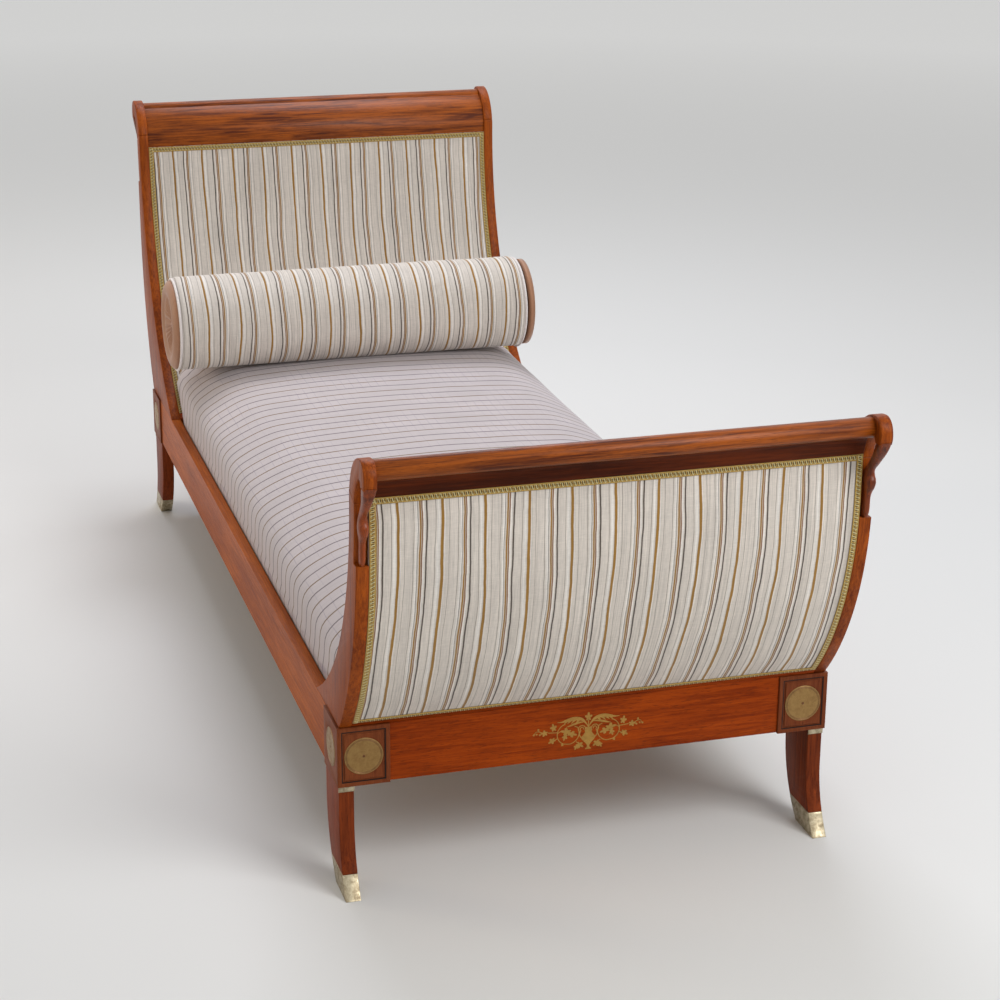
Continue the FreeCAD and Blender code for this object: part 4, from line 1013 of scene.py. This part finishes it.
def make_swan(end, side, hand):
    """A carved swan's neck and head, bent down until its beak lies along the post."""
    around = 28
    rows = curve_through(SWAN, 4)
    points = []
    for x0, drop0, x1, drop1, thick in rows:
        front = end.scroll(x0 / 1000, drop0 / 1000, RAIL_MID * hand)
        back = end.scroll(x1 / 1000, drop1 / 1000, RAIL_MID * hand)
        middle, reach = (front + back) / 2, (front - back) / 2
        square = 0.42 + 0.38 * smooth_step(44, 80, drop0)
        for step in range(around):
            angle = 2 * math.pi * step / around
            c, s = math.cos(angle), math.sin(angle)
            c = math.copysign(abs(c) ** square, c)
            s = math.copysign(abs(s) ** square, s)
            points.append(middle + reach * c + Vector((0, thick / 1000 * s, 0)))
    rings = [range(row * around, (row + 1) * around) for row in range(len(rows))]
    faces = bridge(rings) + [tuple(rings[0]), tuple(rings[-1])]
    parts = [new_piece("swan_body", points, faces, CARVED_WOOD)]
    ball, ball_faces = lathe(SWAN_EYE, 12)
    for cheek in (-1, 1):
        place = facing_out(end.scroll(0.0505, 0.1155, RAIL_MID * hand + cheek * 0.0074), cheek)
        parts.append(new_piece("swan_eye", [place @ spot for spot in ball], ball_faces, EBONY))
    swan = joined(parts, "%s_carved_swan_%s" % (end.name, side))
    swan.data.shade_smooth()
    swan.data.set_sharp_from_angle(angle=math.radians(50))
    return settle(swan, "root", "mahogany", "%s_swan_%s" % (end.name, side))


# Section of a medallion, radius and height, and the radii between which it is engraved and darker
MEDALLION = [
    (0, 0.0010), (0.0012, 0.0009), (0.0022, 0.0007), (0.0025, 0.00042), (0.010, 0.0005), (0.0296, 0.00042),
    (0.0300, 0.0002), (0.0304, 0.00045), (0.0312, 0.00045), (0.0316, 0.0002), (0.0320, 0.00048),
    (0.0333, 0.00048), (0.0340, 0.0001), (0.0340, -0.001),
]
ENGRAVED = ((0.0, 0.0026), (0.0299, 0.0305), (0.0315, 0.0321))


def make_medallions():
    """Eight brass discs with an engraved ring near the rim and a small stud in the middle."""
    points, faces = lathe(MEDALLION, 96)
    reaches = [max(points[i].xy.length for i in face) for face in faces]
    picks = [int(any(low < reach < high for low, high in ENGRAVED)) for reach in reaches]
    pieces = []
    for end in ENDS:
        for side, hand in SIDES:
            front = Matrix.Translation((end.face, BLOCK_MID * hand, BLOCK_MID_Z))
            flank = (end.face - end.sign * BLOCK_HALF_DEEP, FRAME_HALF * hand, BLOCK_MID_Z)
            turn = Matrix.Rotation(end.sign * math.pi / 2, 4, "Y")
            for place in (front @ turn, facing_out(flank, hand)):
                name = "medallion_%s_%s" % (end.name, side)
                spots = [place @ spot for spot in points]
                pieces.append(new_piece(name, spots, faces, [DISC_BRASS, STUD_BRASS], picks))
    discs = joined(pieces, "engraved_medallions")
    discs.data.shade_smooth()
    discs.data.set_sharp_from_angle(angle=math.radians(28))
    return settle(discs, "root", "brass", "brass_medallions")


def raised(end, spot):
    """A scroll's top stands a little higher than the crest, as on the old piece."""
    lift = SCROLL_LIFT * smooth_step(end.top - 0.055, end.top, spot.z)
    return spot + Vector((0, 0, lift))


def fuller(end, spot):
    """A crest's roll is a little stouter than its core."""
    axis = end.scroll(ROLL_OUT, ROLL_DROP, spot.y)
    return axis + (spot - axis) * ROLL_SWELL + Vector((0, 0, 0.0012))


class Inlay:
    """Flat brass shapes on the apron, drawn in millimetres across and up from the middle of its foot."""

    def __init__(self):
        self.points, self.faces, self.count, self.hand = [], [], 0, 1

    def shape(self, outline):
        """One filled outline, as a thin plate; each plate stands a hair above the last."""
        face = INLAY_FACE + 0.00035 + 0.000006 * self.count
        self.count += 1
        start, size = len(self.points), len(outline)
        for out in (face, INLAY_FACE - 0.0003):
            for across, up in outline:
                spot = (out, across * self.hand * INLAY_SCALE, INLAY_LOW + up * INLAY_SCALE)
                self.points.append(Vector(spot))
        front, back = range(start, start + size), range(start + size, start + 2 * size)
        self.faces += [tuple(front), tuple(reversed(back))] + bridge([front, back])

    def stem(self, rows):
        """A stem or frond through rows of across, up, width to its left and, if it differs, to its right."""
        path = curve_through([row if len(row) == 4 else (*row, row[2]) for row in rows], 6)
        left, right = [], []
        for index, (across, up, wide, other) in enumerate(path):
            ahead, behind = path[min(index + 1, len(path) - 1)], path[max(index - 1, 0)]
            way = Vector((ahead[0] - behind[0], ahead[1] - behind[1])).normalized()
            left.append((across - way.y * wide, up + way.x * wide))
            right.append((across + way.y * other, up - way.x * other))
        for index in range(len(path) - 1):
            self.shape([left[index], left[index + 1], right[index + 1], right[index]])
            self.count -= 1
        self.count += 1

    def leaf(self, across, up, size, aim, squash=0.85):
        """A vine leaf: five toothed lobes round its stalk, the longest along aim."""
        outline = []
        c, s = math.cos(math.radians(aim)), math.sin(math.radians(aim))
        for step in range(60):
            angle = 2 * math.pi * step / 60
            lobe = abs(math.cos(2.5 * angle)) ** 1.4
            tall = 1.0 - 0.28 * (1 - math.cos(angle)) / 2
            reach = size * tall * (0.46 + 0.54 * lobe) * (1 - 0.07 * (step % 2))
            x, y = reach * math.cos(angle), reach * math.sin(angle) * squash
            outline.append((across + x * c - y * s, up + x * s + y * c))
        self.shape(outline)

    def disc(self, across, up, size):
        spots = [2 * math.pi * step / 14 for step in range(14)]
        self.shape([(across + size * math.cos(a), up + size * math.sin(a)) for a in spots])


def ring_rows(across, up, size, first, last, wide, count=14):
    """Rows of a stem that runs round a ring between two angles in degrees."""
    rows = []
    for step in range(count + 1):
        angle = math.radians(first + (last - first) * step / count)
        rows.append((across + size * math.cos(angle), up + size * math.sin(angle), wide))
    return rows


# Half the outline of the urn, and the teeth under its fronds: across, up, length and aim in degrees
URN = [
    (5.2, 0), (5.2, 1.4), (2.4, 3.2), (2.0, 6.5), (3.6, 10), (8.6, 15.5), (12.6, 20.5), (12.4, 22.5),
    (9.4, 25.5), (5.6, 31), (3.9, 36.5), (4.6, 38.8), (4.6, 40.2),
]
FROND_TEETH = ((16, 53, 9, -38), (23, 53.6, 9, -34), (30, 53.4, 8, -30), (37, 52.6, 6, -28))


def make_marquetry():
    """Brass inlay of the apron: an urn with curled handles and fronds, and vines with leaves and berries."""
    inlay = Inlay()
    inlay.shape([(-x, y) for x, y in URN] + URN[::-1])
    inlay.stem([(0, 39, 1.0), (0, 46, 0.8), (0, 53, 0.8)])
    inlay.leaf(0, 57.5, 9.2, 90)
    for hand in (-1, 1):
        inlay.hand = hand
        inlay.stem(ring_rows(11.3, 37.4, 6.2, -60, 175, 0.8) + [(5.6, 33.6, 0.8), (4.0, 31, 0.6)])
        inlay.stem([(14.4, 32, 0.8), (15.2, 27, 0.8), (12.6, 22, 1.0)])
        inlay.stem(ring_rows(11.3, 37.4, 3.0, -60, 200, 0.7, 8))
        inlay.stem([(14.2, 32.2, 0.7), (13.6, 33.4, 0.7), (12.8, 34.8, 0.7)])
        inlay.stem([
            (1.0, 42, 0.7), (5, 48, 1.4, 1.2), (11, 53.6, 3.0, 1.6), (19, 57.2, 3.0, 2.8),
            (28, 58.2, 2.4, 3.8), (38, 56.6, 1.4, 3.0), (46, 54.2, 0.8, 1.4), (54, 54.0, 0.2, 0.3),
        ])
        for across, up, long, aim in FROND_TEETH:
            angle = math.radians(aim)
            tip = (across + long * math.cos(angle), up + long * math.sin(angle))
            inlay.shape([(across - 2.4, up + 1.6), (across + 3.2, up + 2.6), tip])
        inlay.stem([(9, 50, 0.6), (16, 50, 1.2, 1.6), (24, 48, 1.8), (32, 45.4, 1.4, 1.0), (39, 43.8, 0.2)])
        inlay.stem(ring_rows(35, 31.5, 19, 74, -64, 0.75))
        inlay.stem(ring_rows(35, 31.5, 19, 168, 262, 0.75, 10) + [(40, 13.6, 0.7), (45.5, 14.6, 0.6)])
        inlay.stem([(16.4, 35.5, 0.7), (18.6, 41, 0.8), (24, 44, 0.7)])
        inlay.leaf(44.6, 13.2, 3.6, -50)
        inlay.stem([(53.6, 34, 0.7), (47, 37.6, 0.6), (38, 37, 0.5)])
        inlay.leaf(37.5, 35.5, 11.5, 12, 0.72)
        inlay.leaf(29.5, 30.6, 10.5, 196, 0.66)
        inlay.leaf(40.5, 26.8, 7.4, -70, 0.8)
        inlay.stem([(21, 15.6, 0.7), (17, 12.6, 0.6)])
        inlay.leaf(15.4, 9.6, 8.8, 214, 0.8)
        inlay.leaf(20.4, 6.6, 6.4, -62, 0.8)
        inlay.stem([(53, 25, 0.7), (58, 23.6, 0.6)])
        inlay.leaf(62, 22.4, 8.4, -30, 0.78)
        inlay.stem([(53.6, 36, 0.7), (62, 36.6, 0.7), (70, 37.4, 0.7)])
        inlay.leaf(60.4, 44.6, 8.8, 78, 0.8)
        inlay.leaf(75.4, 37.2, 7.6, 8, 0.9)
        inlay.stem([(80, 38.4, 0.6), (85.6, 41.4, 0.6), (91, 41.2, 0.5), (93.2, 37.4, 0.5)])
        for across, up, size in ((86.6, 44.8, 1.7), (94.4, 36.4, 1.7), (89.6, 37.2, 1.6), (84, 35.4, 1.6)):
            inlay.disc(across, up, size)
        inlay.stem([(85, 41, 0.5), (86.6, 44, 0.5)])
        inlay.stem([(80, 37, 0.5), (84, 35.6, 0.5)])
    piece = new_piece("urn_and_vines", inlay.points, inlay.faces, INLAY_BRASS)
    piece.data.shade_flat()
    settle(piece, "root", "brass", "brass_marquetry")


for end in ENDS:
    for side, _ in SIDES:
        eased("%s_block_%s" % (end.name, side), 0.0007, BLOCK_WOOD)
        eased("%s_post_%s" % (end.name, side), 0.0014, POST_WOOD)
        eased("%s_leg_%s" % (end.name, side), 0.0012, LEG_WOOD)
        eased("%s_sabot_%s" % (end.name, side), 0.0008, SHOE_BRASS, "brass")
        scroll = "%s_scroll_%s" % (end.name, side)
        eased(scroll, 0.0020, POST_WOOD, reshape=lambda spot: raised(end, spot))
    eased(end.name + "_apron", 0.0010, APRON_WOOD)
    eased(end.name + "_sill", 0.0008, APRON_WOOD)
    # The foot's crest board takes the darker wood with painted shade; the head's takes the plain crest wood
    board = SHADED_COVE_WOOD if end is FOOT else CREST_WOOD
    eased(end.name + "_crest_board", 0.0012, board)
    eased(end.name + "_crest_roll", 0.0010, CREST_WOOD, reshape=lambda spot: fuller(end, spot))
    for side, hand in SIDES:
        make_swan(end, side, hand)
    cloth = FOOT_CLOTH if end is FOOT else HEAD_CLOTH
    for side in ("outer", "inner"):
        make_pad(end, side, cloth)
        settle(make_gimp(end, side), "root", "gimp_braid", "%s_%s_gimp" % (end.name, side))
for side, _ in SIDES:
    eased("side_rail_" + side, 0.0012, RAIL_WOOD)
eased("leg_collars", 0.0004, SHOE_BRASS, "brass")
make_medallions()
make_marquetry()
make_mattress()
make_bolster()
make_caps()
make_piping()

# Hidden pieces and small trim keep their frame meshes
for finish, nodes in (
    (EBONY, ["ebony_stringing"]),
    (STEEL, ["corner_brackets", "bracket_screws"]),
    (HIDDEN_WOOD, ["slat_ledger_left", "slat_ledger_right", "slats", "rail_dowels", "post_dowels"]),
    (HIDDEN_WOOD, ["foot_panel_frame", "head_panel_frame"]),
):
    for node in nodes:
        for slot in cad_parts[node].material_slots:
            slot.material = finish


# Stage, light and camera


WHITE = (1.0, 1.0, 1.0, 1.0)
FLOOR_HALF = 30.0
# The camera of the photo: where it stands, its yaw, pitch and roll in degrees, and its focal length
CAMERA_SPOT = (4.560, -1.224, 2.002)
CAMERA_TURN = (163.36, -19.48, 0.44)
CAMERA_LENS = 84.73


def make_stage():
    finish, web, shader = new_finish("floor_pale", Roughness=0.9, Specular_IOR_Level=0.2)
    shader["Base Color"].default_value = srgb(226, 226, 224)
    away = web.node("ShaderNodeVectorMath", {0: web.place()}, operation="LENGTH")
    far = web.span(away.outputs["Value"], 2.5, 9.0, 0.0, 0.26)
    seen = web.node("ShaderNodeLightPath").outputs["Is Camera Ray"]
    web.feed(shader["Emission Strength"], web.times(far, seen))
    shader["Emission Color"].default_value = WHITE
    corners = [(x * FLOOR_HALF, y * FLOOR_HALF, 0) for x, y in ((-1, -1), (1, -1), (1, 1), (-1, 1))]
    floor = new_piece("floor", corners, [(0, 1, 2, 3)], finish)
    world = bpy.data.worlds.new("studio")
    scene.world = world
    world.use_nodes = True
    web = Web(world.node_tree)
    back = world.node_tree.nodes["Background"]
    rays = web.node("ShaderNodeLightPath").outputs
    seen = web.math("MAXIMUM", rays["Is Camera Ray"], rays["Is Glossy Ray"])
    seen = web.math("MAXIMUM", seen, rays["Is Transmission Ray"])
    web.feed(back.inputs["Strength"], web.span(seen, 0, 1, 0.45, 0.90))
    back.inputs["Color"].default_value = WHITE


def lamp(name, spot, aim, power, wide, tall, colour=(1, 1, 1)):
    light = bpy.data.lights.new(name, "AREA")
    light.shape = "RECTANGLE"
    light.size, light.size_y, light.energy, light.color = wide, tall, power, colour
    thing = new_object(name, light)
    thing.location = spot
    thing.rotation_euler = (Vector(aim) - Vector(spot)).to_track_quat("-Z", "Y").to_euler()


def make_camera():
    yaw, pitch, roll = (math.radians(a) for a in CAMERA_TURN)
    ahead = Vector((math.cos(pitch) * math.cos(yaw), math.cos(pitch) * math.sin(yaw), math.sin(pitch)))
    right = ahead.cross(Vector((0, 0, 1))).normalized()
    up = right.cross(ahead)
    across = right * math.cos(roll) + up * math.sin(roll)
    over = up * math.cos(roll) - right * math.sin(roll)
    turn = Matrix((across, over, -ahead)).transposed().to_4x4()
    lens = bpy.data.cameras.new("camera")
    lens.lens, lens.sensor_width = CAMERA_LENS, 36.0
    eye = new_object("camera", lens)
    eye.matrix_world = Matrix.Translation(CAMERA_SPOT) @ turn
    scene.camera = eye


make_stage()
lamp("key", (3.4, 1.8, 3.0), (0.6, 0, 0.5), 92, 2.0, 2.0)
lamp("warm_side", (-2.4, -4.4, 1.3), (-0.8, -0.4, 0.3), 46, 1.4, 1.0, (1.0, 0.80, 0.56))
lamp("cool_top", (-1.9, 0.3, 3.6), (-0.7, 0, 0.4), 78, 2.4, 2.0, (0.90, 0.92, 1.0))
make_camera()
scene.view_settings.view_transform = "Standard"
